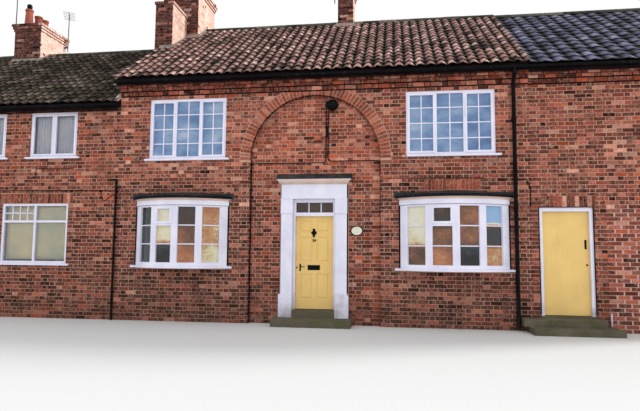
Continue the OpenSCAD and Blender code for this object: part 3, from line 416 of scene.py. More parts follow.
ridge_clay = make_tile("ridge_clay", [(0.0, (42, 44, 40)), (0.6, (66, 62, 56)), (1.0, (104, 90, 82))],
                       0.3, 0.25, 0.8)
# The white paint's lilac tint stands for the blue shade of the sky: painted shade
white_paint = make_coated("white_paint", (234, 232, 246), (220, 218, 238), 0.35, 0.10, 0.75, 0.55)
# The hollows' warm colour is painted shade under ledges
hollow_painted_shade = make_coated("hollow_warm_painted_shade", (224, 196, 184), (206, 178, 166), 0.4, 0.10)
# Painted shadow for the thin open joints
painted_joint_shadow = make_coated("painted_joint_shadow", (112, 98, 112), (84, 72, 78), 0.9, 0.10)
yellow_paint = make_coated("yellow_paint", (238, 200, 120), (230, 191, 112), 0.32, 0.03, 0.12, 0.6)
lead = make_coated("dull_lead", (32, 36, 38), (64, 66, 66), 0.6, 0.3, 0.0, 0.7, 30.0, 0.002)
# The deep edges of the lead are a darker copy of it: painted shade
lead_in_painted_shade = make_coated("lead_edge_in_painted_shade", (13, 16, 22), (24, 28, 34), 0.55, 0.2, 0.0, 0.7, 30.0, 0.002)
stone = make_coated("worn_stone", (104, 94, 78), (78, 78, 50), 0.9, 0.35, 0.5, 0.3, 70.0, 0.004)
black_plastic = make_coated("black_plastic", (9, 9, 13), (4, 4, 7), 0.42, 0.02, 0.25, 0.5)
black_iron = make_coated("black_iron", (8, 8, 10), (16, 16, 20), 0.42, 0.03)
steel = make_coated("hinge_steel", (150, 146, 140), (120, 116, 110), 0.4, 0.1)
surface_of(steel)["Metallic"].default_value = 1.0
aerial_metal = make_coated("aerial_metal", (70, 74, 84), (50, 52, 60), 0.5, 0.2)
terracotta = make_coated("terracotta", (168, 84, 62), (124, 62, 50), 0.85, 0.3, 0.0, 0.7, 90.0, 0.002)
boards = make_coated("floor_boards", (150, 118, 84), (122, 92, 62), 0.6, 0.1)
cement = make_coated("cement_fillet", (158, 144, 138), (122, 112, 104), 0.95, 0.35, 0.0, 0.7, 60.0, 0.005)
pale_flashing = make_coated("pale_flashing", (206, 180, 172), (176, 150, 142), 0.9, 0.3)
# Near black for painted shade: undersides of the roof slabs, the eaves core and joints, and seams in corners
near_black_shade = make_coated("near_black_painted_shade", (30, 21, 22), (20, 14, 16), 0.9, 0.05)
enamel = make_coated("cream_enamel", (230, 226, 206), (214, 210, 188), 0.3, 0.1)
sky_glass = make_glass("upper_glass", [
    (0.0, (84, 112, 156)), (0.4, (112, 142, 184)), (0.7, (138, 164, 196)), (1.0, (176, 190, 210))],
    0.15, (1, 1, 1.6))
room_glass = make_glass("lower_glass", [
    (0.0, (44, 42, 42)), (0.4, (96, 84, 72)), (0.7, (146, 124, 98)), (1.0, (186, 176, 150))],
    0.45, (1, 1, 1.2))
clear_glass = make_glass("clear_glass", [(0.0, (226, 236, 250)), (1.0, (252, 253, 255))], 0.96)
fan_glass = make_glass("fanlight_glass", [(0.0, (58, 42, 32)), (1.0, (84, 64, 50))], 0.1)
bow_glass = make_bow_reflections()
blind_cloth = make_cloth("cream_blind", (252, 236, 180), (244, 222, 158), 90.0)
net_cloth = make_cloth("net_curtain", (246, 240, 240), (214, 206, 212), 140.0)

# Rough and sooty surfaces keep hardly any shine
for dull in (brick, stack_brick, mortar, pantile, old_tile, blue_tile, black_plastic, black_iron, lead,
             lead_in_painted_shade, near_black_shade):
    surface_of(dull)["Specular IOR Level"].default_value = 0.08

# Materials of the frame's own nodes
not_bare = ("chimney_party_wall_front", "chimney_party_wall_back", "wall_lamp")
bare_walls = [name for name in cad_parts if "wall" in name and name not in not_bare]
for found, names in (
    (near_black_shade, " ".join("%s_roof_front %s_roof_rear" % (house, house) for house in SPANS)),
    (ridge_clay, "ridge_tiles"), (boards, "ground_floors first_floors"), (terracotta, "chimney_pots"),
    (aerial_metal, "tv_aerials"), (black_plastic, "gutters downpipes"), (lead, "lead_roofs"),
    (stone, "door_steps"), (sky_glass, "upper_glass"), (room_glass, "lower_glass bow_glass"),
    (white_paint, "upper_window_frames bow_window_frames bow_window_cornices window_sills door_surround "
                  "neighbour_window_frames rear_window_frames front_door_frame side_door_frame fixed_doors"),
    (black_iron, "wall_lamp front_door_furniture"), (yellow_paint, "front_door side_door"),
    (steel, "jamb_hinges front_door_hinges side_door_hinges"),
    (stack_mortar, "chimney_left_house chimney_party_wall_front chimney_party_wall_back chimney_main_house"),
    (mortar, " ".join(["arch_front_leaf", "side_door_pier", "eaves_courses"] + bare_walls)),
):
    for name in names.split():
        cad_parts[name].data.materials.clear()
        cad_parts[name].data.materials.append(found)


def dress(piece, material, body="houses"):
    piece.data.materials.append(material)
    bpy.context.scene.collection.objects.link(piece)
    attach(piece, body)
    return piece


def piece_from(name, bm, material, body="houses", smooth=0.0):
    """A finished bmesh becomes one piece; faces closer than the smooth angle are shaded as one."""
    bmesh.ops.recalc_face_normals(bm, faces=bm.faces[:])
    mesh = bpy.data.meshes.new(name)
    if smooth:
        for face in bm.faces:
            face.smooth = True
        for edge in bm.edges:
            edge.smooth = edge.calc_face_angle(math.pi) < smooth
    bm.to_mesh(mesh)
    bm.free()
    return dress(bpy.data.objects.new(name, mesh), material, body)


def ease(bm, edges, size, segments=1, clamp=False):
    """Cuts a narrow flat off edges."""
    return bmesh.ops.bevel(bm, geom=edges, offset=size, offset_type="OFFSET", segments=segments, profile=0.5,
                           affect="EDGES", material=-1, clamp_overlap=clamp)["verts"]


def push(bm, faces, way):
    """Extrudes faces along a vector."""
    grown = bmesh.ops.extrude_face_region(bm, geom=faces)["geom"]
    bmesh.ops.translate(bm, verts=[g for g in grown if isinstance(g, bmesh.types.BMVert)], vec=way)


def board(bm, low, high, edge=0.003):
    """A box with eased edges between two corners."""
    low, high = Vector(low), Vector(high)
    made = bmesh.ops.create_cube(bm, size=1)["verts"]
    bmesh.ops.scale(bm, vec=high - low, verts=made)
    bmesh.ops.translate(bm, vec=(low + high) / 2, verts=made)
    if edge:
        made = ease(bm, list({e for v in made for e in v.link_edges}), edge, clamp=True)
    return made


class Template:
    """A small closed shape that is copied to many places as one joined mesh."""

    def __init__(self, bm):
        bmesh.ops.recalc_face_normals(bm, faces=bm.faces[:])
        bm.verts.index_update()
        self.points = np.array([v.co[:] for v in bm.verts])
        self.faces = [[v.index for v in face.verts] for face in bm.faces]
        bm.free()

    def join(self, name, points, tones, material, slot, shadow=None):
        """One flat-shaded piece; shadow darkens the second tone from point to point of the shape."""
        copies, count = points.shape[:2]
        corners = np.concatenate([np.array(face) for face in self.faces])
        starts = np.cumsum([0] + [len(face) for face in self.faces[:-1]])
        steps = np.arange(copies)[:, None]
        mesh = bpy.data.meshes.new(name)
        mesh.vertices.add(copies * count)
        mesh.vertices.foreach_set("co", points.astype(np.float32).ravel())
        mesh.loops.add(copies * len(corners))
        mesh.loops.foreach_set("vertex_index", (corners + steps * count).ravel().astype(np.int32))
        mesh.polygons.add(copies * len(starts))
        mesh.polygons.foreach_set("loop_start", (starts + steps * len(corners)).ravel().astype(np.int32))
        mesh.polygons.foreach_set("use_smooth", np.full(copies * len(starts), False))
        mesh.update(calc_edges=True)
        mesh.validate()
        tone = mesh.attributes.new("tone", "FLOAT_COLOR", "POINT")
        colors = np.ones((copies, count, 4))
        colors[:, :, :3] = np.array(tones)[:, None, :]
        if shadow is not None:
            colors[:, :, 1] *= shadow
        tone.data.foreach_set("color", colors.astype(np.float32).ravel())
        return dress(bpy.data.objects.new(name, mesh), material)


# Bricks: one eased block, stretched to each brick's own length and height
COURSE, BED = 0.080, 0.011
LONG, SHORT, TALL = 0.226, 0.107, 0.069
SUNK, PROUD = 0.006, 0.004
# The smallest piece of brick that is laid
LEAST_LONG, LEAST_TALL = 0.03, 0.022


def brick_shape():
    bm = bmesh.new()
    made = bmesh.ops.create_cube(bm, size=1)["verts"]
    bmesh.ops.scale(bm, vec=(LONG, TALL, SUNK), verts=made)
    bmesh.ops.translate(bm, vec=(LONG / 2, TALL / 2, -SUNK / 2), verts=made)
    front = [e for e in bm.edges if all(v.co.z > -SUNK / 2 for v in e.verts)]
    bmesh.ops.translate(bm, vec=(0, 0, PROUD), verts=[v for v in bm.verts if v.co.z > -SUNK / 2])
    ease(bm, front, 0.0025)
    return bm


BRICK = Template(brick_shape())


def without(strips, void):
    """Cuts a rectangle out of the strips of one course."""
    left, right, low, high = void
    kept = []
    for a, b, c, d in strips:
        if right <= a or left >= b or high <= c or low >= d:
            kept.append((a, b, c, d))
            continue
        if left - a > LEAST_LONG:
            kept.append((a, left, c, d))
        if b - right > LEAST_LONG:
            kept.append((right, b, c, d))
        if low - c > LEAST_TALL:
            kept.append((max(a, left), min(b, right), c, low))
        if d - high > LEAST_TALL:
            kept.append((max(a, left), min(b, right), high, d))
    return kept


def courses(u0, u1, v0, v1, voids=(), shift=0.0, joint=0.013, flemish=True):
    """Bricks of a wall, in Flemish bond or all lengthwise: left end, foot, length, height."""
    found = []
    unit = LONG + SHORT + 2 * joint if flemish else LONG + joint
    for row in range(math.floor(v0 / COURSE), math.ceil(v1 / COURSE)):
        low = max(row * COURSE + BED / 2, v0)
        high = min((row + 1) * COURSE - BED / 2, v1)
        if high - low < 0.02:
            continue
        strips = [(u0, u1, low, high)]
        for void in voids:
            strips = without(strips, void)
        start = math.floor((u0 - shift) / unit) * unit + shift - unit
        start += unit / 2 * (row % 2) - (LONG / 2 + joint / 2 if flemish else 0)
        ends = []
        while start < u1 + unit:
            ends.append(start + draws.normal(0, 0.003))
            if flemish:
                ends.append(start + LONG + joint + draws.normal(0, 0.003))
            start += unit
        for a, b, c, d in strips:
            cuts = [a - joint / 2] + [e for e in ends if a + 0.045 < e < b - 0.045] + [b + joint / 2]
            for first, second in zip(cuts, cuts[1:]):
                found.append((first + joint / 2, c, second - first - joint, d - c))
    return found


def brick_tones(rows, light=0.5, spread=0.33, warm=0.05, dark_headers=0.4, pale=1.0):
    """pale above 1 brings more light bricks, and below 1 more dark ones."""
    tones = []
    for row in rows:
        place = draws.beta(0.95 * pale, 1.12)
        if row[2] < 0.15 and draws.random() < dark_headers:
            place *= 0.35
        warmth = warm + (0.6 * draws.random() if warm and draws.random() < 0.16 else 0.0)
        tones.append((place, min(1.0, max(-0.4, draws.normal(light, spread))), warmth))
    return tones


def brick_points(rows, origin, along, up, out, proud=0.0):
    """Places of every brick's corners on a wall face, each brick a little irregular."""
    rows = np.array(rows)
    points = np.repeat(BRICK.points[None], len(rows), axis=0)
    right = BRICK.points[:, 0] > LONG / 2
    high = BRICK.points[:, 1] > TALL / 2
    points[:, right, 0] += (rows[:, 2] - LONG)[:, None]
    points[:, high, 1] += (rows[:, 3] - TALL)[:, None]
    for side in (right, ~right):
        for level in (high, ~high):
            corner = side & level
            points[:, corner, 0] += draws.normal(0, 0.0012, (len(rows), 1))
            points[:, corner, 1] += draws.normal(0, 0.0012, (len(rows), 1))
    front = BRICK.points[:, 2] > 0
    points[:, front, 2] += proud + draws.uniform(-0.001, 0.001, (len(rows), 1))
    points[:, :, 0] += rows[:, 0, None]
    points[:, :, 1] += rows[:, 1, None]
    axes = np.array([along, up, out], float)
    return np.array(origin, float) + points @ axes


X, Y, Z = Vector((1, 0, 0)), Vector((0, 1, 0)), Vector((0, 0, 1))
FACES = {"front": (X, -Y), "rear": (-X, Y), "left": (-Y, -X), "right": (Y, X)}


def split_by(rows, cuts):
    """Sorts bricks into whole ones and ones that a line crosses; a cut keeps the side below its line."""
    whole, crossed = [], {}
    for row in rows:
        corners = [(row[0] + du, row[1] + dv) for du in (0, row[2]) for dv in (0, row[3])]
        state = None
        for number, (pu, pv, nu, nv) in enumerate(cuts):
            sides = [(u - pu) * nu + (v - pv) * nv for u, v in corners]
            if min(sides) > -0.01:
                state = "gone"
                break
            if max(sides) > 0:
                state = number
        if state is None:
            whole.append(row)
        elif state != "gone":
            crossed.setdefault(state, []).append(row)
    return whole, crossed


class Wall:
    """Collects the bricks of several faces, and makes them one piece."""

    def __init__(self, name, material=brick, slot="front_brick"):
        self.name, self.material, self.slot = name, material, slot
        self.points, self.tones, self.cut = [], [], []

    def lay(self, rows, face="front", origin=(0, 0, 0), cuts=(), proud=0.0, **tone):
        along, out = FACES[face]
        whole, crossed = split_by(rows, cuts) if cuts else (rows, {})
        if whole:
            self.points.append(brick_points(whole, origin, along, Z, out, proud))
            self.tones += brick_tones(whole, **tone)
        for number, found in crossed.items():
            pu, pv, nu, nv = cuts[number]
            plane = Vector(origin) + along * pu + Z * pv
            normal = along * nu + Z * nv
            points = brick_points(found, origin, along, Z, out, proud)
            self.cut.append((points, brick_tones(found, **tone), plane, normal))

    def build(self):
        piece = BRICK.join(self.name, np.concatenate(self.points), self.tones, self.material, self.slot)
        if self.cut:
            bm = bmesh.new()
            tone_layer = bm.verts.layers.float_color.new("tone")
            for points, tones, plane, normal in self.cut:
                group = []
                for copy, tone in zip(points, tones):
                    verts = [bm.verts.new(p) for p in copy]
                    for vert in verts:
                        vert[tone_layer] = (*tone, 1)
                    faces = [bm.faces.new([verts[i] for i in face]) for face in BRICK.faces]
                    group += verts + faces
                edges = list({e for part in group if isinstance(part, bmesh.types.BMFace)
                              for e in part.edges})
                cut = bmesh.ops.bisect_plane(bm, geom=group + edges, plane_co=plane, plane_no=normal,
                                             clear_outer=True)
                open_edges = [e for e in cut["geom_cut"] if isinstance(e, bmesh.types.BMEdge)]
                bmesh.ops.holes_fill(bm, edges=open_edges)
            piece_from(self.name + "_cut", bm, self.material)
        return piece


def gable_cuts(eaves, flip):
    """Slanting lines under the two slopes, in the face's own measure along and up."""
    level = roof_under(eaves, 0)
    slope = math.tan(PITCH)
    sign = -1 if flip else 1
    return [(0.0, level, -sign * slope, 1.0), (sign * DEPTH, level, sign * slope, 1.0)]


# Openings that the bricks leave: left, right, foot, top
def over_arch(x, width, head):
    """Span of the flat arch of bricks on end over an opening: left, right, foot."""
    reach = width / 2 + ARCH_REACH
    return x - reach, x + reach, head


def window_void(x, width, low, high, arch=0.0):
    """An opening with its sill, and the flat arch over it where there is one."""
    half, reach = width / 2, width / 2 + SILL_REACH
    voids = [(x - half, x + half, low, high), (x - reach, x + reach, low - SILL_TALL, low)]
    if arch:
        voids.append((*over_arch(x, width, high), high + arch))
    return voids


BOW_ARCH = (2.30, 3.42, 2.80, 3.01)
front_voids = [(-ARCH_R, ARCH_R, 0.0, SPRING)]
for window in UPPER_WINDOWS:
    front_voids += window_void(*window)
for x, chord in ((-2.905, 2.08), (2.885, 2.165)):
    front_voids.append((x - chord / 2, x + chord / 2, 1.145, 2.70))
front_voids.append(BOW_ARCH)
left_voids = []
for window in LEFT_UPPER:
    left_voids += window_void(*window)
for window in LEFT_LOWER:
    left_voids += window_void(*window, ARCH_RISE)
LEFT_DOOR_ARCH, SIDE_DOOR_ARCH = (-8.64, -7.48, 2.38), (4.60, 5.62, 2.43)
left_voids += [(-8.53, -7.59, 0.0, 2.38), (*LEFT_DOOR_ARCH, 2.38 + ARCH_RISE)]
right_voids = [(4.545, 5.555, 0.0, 2.43), (*SIDE_DOOR_ARCH, 2.43 + ARCH_RISE)]
for window in RIGHT_WINDOWS:
    right_voids += window_void(*window, ARCH_RISE)
low_arches = [over_arch(x, width, head) for x, width, foot, head in LEFT_LOWER]
right_arches = [over_arch(x, width, head) for x, width, foot, head in RIGHT_WINDOWS]
front_arches = [*low_arches, LEFT_DOOR_ARCH, SIDE_DOOR_ARCH, *right_arches]
rear_arches = []
def arch_cut(row):
    """The line that a brick is cut along at the ring of the arch; None clear of it, and gone under it."""
    reach = ARCH_R + RING
    corners = [(row[0] + du, row[1] + dv - SPRING) for du in (0, row[2]) for dv in (0, row[3])]
    far = [math.hypot(u, v) for u, v in corners]
    if min(far) >= reach:
        return None
    if max(far) <= reach + 0.015:
        return "gone"
    middle = Vector((row[0] + row[2] / 2, row[1] + row[3] / 2 - SPRING)).normalized()
    return (middle.x * reach, SPRING + middle.y * reach, -middle.x, -middle.y)


def build_front():
    wall = Wall("bricks_main_front")
    plain, beside_arch = [], []
    for row in courses(MAIN_L, MAIN_R, 0.0, corbel_foot("main"), front_voids, 0.1):
        if row[1] + row[3] > SPRING and abs(row[0] + row[2] / 2) < 2.1:
            cut = arch_cut(row)
            if cut == "gone":
                continue
            if cut:
                beside_arch.append((row, cut))
                continue
        plain.append(row)
    change = LIGHT_FROM["main"]
    upper = [r for r in plain if r[1] > change]
    lower = [r for r in plain if r[1] <= change]
    wall.lay([r for r in upper if r[0] < 0], light=0.54, pale=1.1)
    wall.lay([r for r in upper if r[0] >= 0 and r[1] > 3.3], light=0.44)
    wall.lay([r for r in upper if r[0] >= 0 and r[1] <= 3.3], light=0.36, pale=0.8)
    wall.lay(lower, light=0.38, warm=0.0, pale=0.6)
    for row, cut in beside_arch:
        wall.lay([row], cuts=[cut], light=0.54)
    recess = []
    surround = [(-0.74, 0.74, 0.0, 2.92), (-0.80, 0.80, 2.92, 3.16)]
    for row in courses(-ARCH_R, ARCH_R, 0.0, SPRING + ARCH_R, surround, 0.05):
        if math.hypot(row[0] + row[2] / 2, max(0.0, row[1] - SPRING)) < ARCH_R + 0.03:
            recess.append(row)
    wall.lay([r for r in recess if r[1] > change], "front", (0, RECESS, 0), light=0.60, warm=0.2, pale=1.1)
    wall.lay([r for r in recess if r[1] <= change], "front", (0, RECESS, 0), light=0.44, pale=0.8)
    # Painted shade: the jamb bricks in the recess's reveals are laid in very dark tones
    shade = {"light": -0.2, "spread": 0.1, "proud": -0.002}
    jamb = [(0.004, COURSE * k + BED / 2, RECESS - 0.004, COURSE - BED) for k in range(int(SPRING / COURSE))]
    wall.lay(jamb, "right", (-ARCH_R, 0, 0), **shade)
    wall.lay([(-RECESS, *row[1:]) for row in jamb], "left", (ARCH_R, 0, 0), **shade)
    wall.build()


def build_neighbours():
    wall = Wall("bricks_left_front")
    rows = courses(ROW_L, MAIN_L, 0.0, corbel_foot("left"), left_voids, 0.2)
    wall.lay([r for r in rows if r[1] > LIGHT_FROM["left"]], light=0.40, warm=0.10, pale=0.85)
    wall.lay([r for r in rows if r[1] <= LIGHT_FROM["left"]], light=0.34, pale=0.6)
    wall.build()
    wall = Wall("bricks_right_front")
    rows = courses(MAIN_R, ROW_R, 0.0, corbel_foot("right"), right_voids + [REPAIR], 0.0)
    wall.lay(rows, light=0.42, warm=0.06, pale=0.85)
    patch = courses(REPAIR[0], ROW_R, 0.0, REPAIR[3], right_voids[4:], 0.06, joint=0.030, flemish=False)
    wall.lay(patch, light=0.52, warm=0.16, dark_headers=0.2, pale=1.0)
    wall.build()


def build_rear():
    for house, door_x in (("left", -6.135), ("main", 0.0), ("right", 7.275)):
        x0, x1 = SPANS[house]
        voids = []
        for x, *opening in REAR_UPPER:
            if x0 < x < x1:
                voids += window_void(-x, *opening)
        for x, width, foot, head in REAR_LOWER:
            if x0 < x < x1:
                voids += window_void(-x, width, foot, head, ARCH_RISE)
                rear_arches.append(over_arch(x, width, head))
        voids += window_void(-door_x, 0.90, 0.0, 2.38, ARCH_RISE)
        rear_arches.append(over_arch(door_x, 0.90, 2.38))
        wall = Wall("bricks_%s_rear" % house)
        wall.lay(courses(-x1, -x0, 0.0, corbel_foot(house), voids), "rear", (0, DEPTH, 0), light=0.48)
        wall.build()


def build_ends():
    """The two end walls, and the main house's side above the lower roof."""
    tops = {house: roof_under(EAVES[house], DEPTH / 2) for house in SPANS}
    wall = Wall("bricks_left_end")
    rows = courses(-DEPTH, 0.0, 0.0, tops["left"])
    wall.lay(rows, "left", (ROW_L, 0, 0), cuts=gable_cuts(EAVES["left"], True), light=0.45)
    wall.build()
    wall = Wall("bricks_right_end")
    rows = courses(0.0, DEPTH, 0.0, tops["right"])
    wall.lay(rows, "right", (ROW_R, 0, 0), cuts=gable_cuts(EAVES["right"], False), light=0.45)
    wall.build()
    wall = Wall("bricks_main_gable")
    rows = []
    for row in courses(-DEPTH, 0.0, 4.75, tops["main"], shift=0.15):
        middle = min(DEPTH, max(0.0, -(row[0] + row[2] / 2)))
        if row[1] + row[3] > roof_top(EAVES["left"], middle) - 0.12:
            rows.append(row)
    wall.lay(rows, "left", (MAIN_L, 0, 0), cuts=gable_cuts(EAVES["main"], True), light=0.4)
    wall.build()


build_front()
build_neighbours()
build_rear()
build_ends()


# Bricks on end over the openings, and the ring round the blind arch
def lay_on_end(wall, span, face, y, tall, brick_pitch=0.078, **tone):
    left, right, foot = span
    count = round((right - left) / brick_pitch)
    pitch = (right - left) / count
    start = left if face == "front" else -right
    rows = [(start + pitch * k + 0.004, foot, pitch - 0.009, tall) for k in range(count)]
    wall.lay(rows, face, (0, y, 0), **tone)


def flat_arches():
    wall = Wall("flat_arches")
    for spans, face, y, warm in ((front_arches, "front", 0, 0.12), (rear_arches, "rear", DEPTH, 0.1)):
        for left, right, foot in spans:
            lay_on_end(wall, (left, right, foot + 0.006), face, y, ARCH_RISE - 0.012, proud=0.001, light=0.45,
                       warm=warm, dark_headers=0.3)
    left, right, foot = BOW_ARCH[:3]
    lay_on_end(wall, (left, right, foot + 0.005), "front", 0, 0.2, 0.075, light=0.62, warm=0.3,
               dark_headers=0.1)
    wall.build()


flat_arches()


def arch_ring():
    """Bricks on end round the arch, deep enough to show in its underside."""
    bm = bmesh.new()
    board(bm, (0, -0.5, 0), (0.222, 0.5, RECESS + 0.004), 0.0)
    ease(bm, [e for e in bm.edges if all(v.co.z < 0.01 for v in e.verts)], 0.003)
    shape = Template(bm)
    # Painted shade: the underside and the sides between the bricks get a tone far darker than the faces
    shade = np.where(shape.points[:, 2] > 0.002, -0.6, 1.0)
    count = 58
    points = []
    for turn in (np.arange(count) + 0.5) / count * math.pi:
        copy = shape.points.copy()
        copy[:, 1] *= 0.066 + draws.normal(0, 0.0015)
        copy[:, 0] += ARCH_R - 0.003
        copy[:, 0] += (shape.points[:, 0] > 0.1) * draws.normal(0, 0.003)
        out = copy[:, 0] * math.cos(turn) - copy[:, 1] * math.sin(turn)
        up = copy[:, 0] * math.sin(turn) + copy[:, 1] * math.cos(turn)
        depth = copy[:, 2] - 0.005
        points.append(np.stack([out, depth, SPRING + up], axis=1))
    tones = [(0.2 + 0.7 * draws.random(), 0.35 + 0.5 * draws.random(), 0.35 * draws.random())
             for k in range(count)]
    shape.join("arch_ring", np.array(points), tones, brick, "front_brick", shadow=shade)


arch_ring()


# Projecting courses under the eaves on a near-black core that shows in their joints as painted shade, with a
# near-black strip of painted shadow in the open joint under each step
def eaves_bricks():
    wall = Wall("eaves_bricks")
    core, joints = bmesh.new(), bmesh.new()
    for house, (x0, x1) in SPANS.items():
        for face, y, sign in (("front", 0.0, 1), ("rear", DEPTH, -1)):
            low = corbel_foot(house)
            a, b = (x0, x1) if face == "front" else (-x1, -x0)
            below = 0.0
            for step, (tall, out) in enumerate(EAVES_COURSES[house]):
                near, back = sorted((y - sign * out, y + sign * 0.01))
                board(core, (x0, near, low), (x1, back, low + tall), 0.0)
                layers = max(1, round(tall / 0.07))
                for layer in range(layers):
                    foot = low + tall / layers * layer
                    rows = [(r[0], foot + 0.006, r[2], tall / layers - 0.012)
                            for r in courses(a, b, 0.0, 0.07, shift=0.11 * (step + layer) + 0.05)]
                    wall.lay(rows, face, (0, y - sign * out, 0), light=0.36, warm=0.14, dark_headers=0.5,
                             pale=0.8)
                if out > below:
                    near, back = sorted((y - sign * (below + 0.006), y + sign * 0.01))
                    board(joints, (x0, near, low - OPEN_JOINT), (x1, back, low + 0.002), 0.0)
                below = out
                low += tall
    wall.build()
    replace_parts(piece_from("eaves_core", core, near_black_shade), "eaves_courses")
    piece_from("eaves_joint_painted_shadow", joints, near_black_shade)


eaves_bricks()


# Shafts of the chimneys, with stepped heads; their right faces are laid in near-white bricks over pale
# mortar, painted sunlight
def stack_bricks():
    wall = Wall("stack_bricks", stack_brick, "chimney_brick")
    sunlit_mortar_faces = bmesh.new()
    grow, rise = 0.004, 0.075
    for name, (x0, y0, x1, y1, top) in STACKS.items():
        steps = 1 if name == "party_front" else 3
        head = top - rise * steps
        foot = roof_top(EAVES["main" if name == "main" else "left"], y0) - 0.2
        sides = {"front": (x0, x1, (0, y0, 0)), "rear": (-x1, -x0, (0, y1, 0)),
                 "left": (-y1, -y0, (x0, 0, 0)), "right": (y0, y1, (x1, 0, 0))}
        for face, (a, b, origin) in sides.items():
            if name == "party_front" and face == "rear":
                continue
            tone = {"light": 0.16, "spread": 0.28, "pale": 0.6, "warm": 0.0}
            # Painted sunlight: the right faces get the palest tones over a board of pale mortar
            if face == "right":
                tone = {"light": 1.0, "spread": 0.06, "pale": 24.0, "warm": 0.0, "dark_headers": 0.04}
                board(sunlit_mortar_faces, (x1 - 0.02, y0 + 0.002, foot), (x1 + 0.002, y1 - 0.002, head), 0.0)
            wall.lay(courses(a - grow, b + grow, foot, head - 0.004, shift=a), face, origin, **tone)
            for step in range(1, steps + 1):
                out = 0.025 * step
                low = head + rise * (step - 1)
                rows = [(r[0], low + 0.004, r[2], 0.066)
                        for r in courses(a - out - grow, b + out + grow, 0.0, 0.07, shift=a + 0.1 * step)]
                wall.lay(rows, face, Vector(origin) + FACES[face][1] * out, **tone)
    wall.build()
    piece_from("painted_sunlit_mortar", sunlit_mortar_faces, painted_sunlit_mortar)


stack_bricks()


# Roof tiles: one S-shaped tile of a width, length and height of roll, laid in rows that lap
class Tile:
    def __init__(self, width, length, roll, thick, gauge, parts=8):
        self.width, self.length, self.gauge = width, length, gauge
        bm = bmesh.new()
        verts = []
        for k in range(parts + 1):
            t = k / parts * 1.09
            sway = t - 0.06 * math.sin(2 * math.pi * t)
            height = roll * (0.5 + 0.5 * math.cos(2 * math.pi * sway)) + 0.010 * t
            verts.append(bm.verts.new((width * t, 0, height)))
        edges = [bm.edges.new(pair) for pair in zip(verts, verts[1:])]
        grown = bmesh.ops.extrude_edge_only(bm, edges=edges)["geom"]
        verts = [g for g in grown if isinstance(g, bmesh.types.BMVert)]
        bmesh.ops.translate(bm, verts=verts, vec=(0, length, 0))
        push(bm, bm.faces[:], (0, 0, thick))
        self.shape = Template(bm)
        # Painted light and shade on each tile: light on the crest, dark in the valley and towards the head
        # under the next row
        across = self.shape.points[:, 0] / width
        crest = 0.5 + 0.5 * np.cos(2 * np.pi * (across - 0.06 * np.sin(2 * np.pi * across)))
        self.shadow = (0.02 + 0.98 * crest ** 0.55) * (1.1 - 0.9 * self.shape.points[:, 1] / length)


def lay_tiles(name, house, rear, material, slot, tile, green=0.0):
    """Tiles on one slope of a house; green lets moss grow."""
    x0, x1 = SPANS[house]
    if house == "main":
        x0 -= ROOF_LAP
    eaves = EAVES[house]
    length, tail, lift = tile.length, 0.05, 0.030
    run = (DEPTH / 2 + EAVES_OVER) / math.cos(PITCH) + tail - 0.07
    rows = math.ceil((run - length) / tile.gauge) + 1
    gauge = (run - length) / (rows - 1)
    columns = round((x1 - x0) / tile.width)
    step = (x1 - x0) / columns
    side = -1 if rear else 1
    across = np.array([side, 0, 0], float)
    up = np.array([0, side * math.cos(PITCH), math.sin(PITCH)])
    out = np.array([0, -side * math.sin(PITCH), math.cos(PITCH)])
    start = np.array([x1 if rear else x0, DEPTH + EAVES_OVER if rear else -EAVES_OVER, eaves])
    points, tones = [], []
    for row in range(rows):
        sag = draws.normal(0, 0.0015)
        for column in range(columns):
            copy = tile.shape.points.copy()
            copy[:, 0] *= step / tile.width
            if column == columns - 1:
                copy[:, 0] = np.minimum(copy[:, 0], step)
            copy[:, 2] += lift * (1 - copy[:, 1] / length) + sag + draws.normal(0, 0.0012)
            copy[:, 1] += row * gauge - tail + draws.normal(0, 0.004)
            copy[:, 0] += column * step
            points.append(start + copy[:, :1] * across + copy[:, 1:2] * up + copy[:, 2:3] * out)
            wet = green * draws.random()
            tones.append((draws.beta(1.3, 1.3), min(1.0, max(0.3, draws.normal(0.8, 0.2))), wet))
    tile.shape.join(name, np.array(points), tones, material, slot, shadow=tile.shadow)


narrow_tile = Tile(0.215, 0.345, 0.044, 0.013, 0.285)
broad_tile = Tile(0.300, 0.410, 0.030, 0.014, 0.330)
for rear in (False, True):
    end = "_rear" if rear else "_front"
    lay_tiles("left_pantiles" + end, "left", rear, old_tile, "old_roof_tiles", narrow_tile, 0.25)
    lay_tiles("main_pantiles" + end, "main", rear, pantile, "pantiles", narrow_tile, 0.05)
    lay_tiles("right_tiles" + end, "right", rear, blue_tile, "blue_grey_tiles", broad_tile)


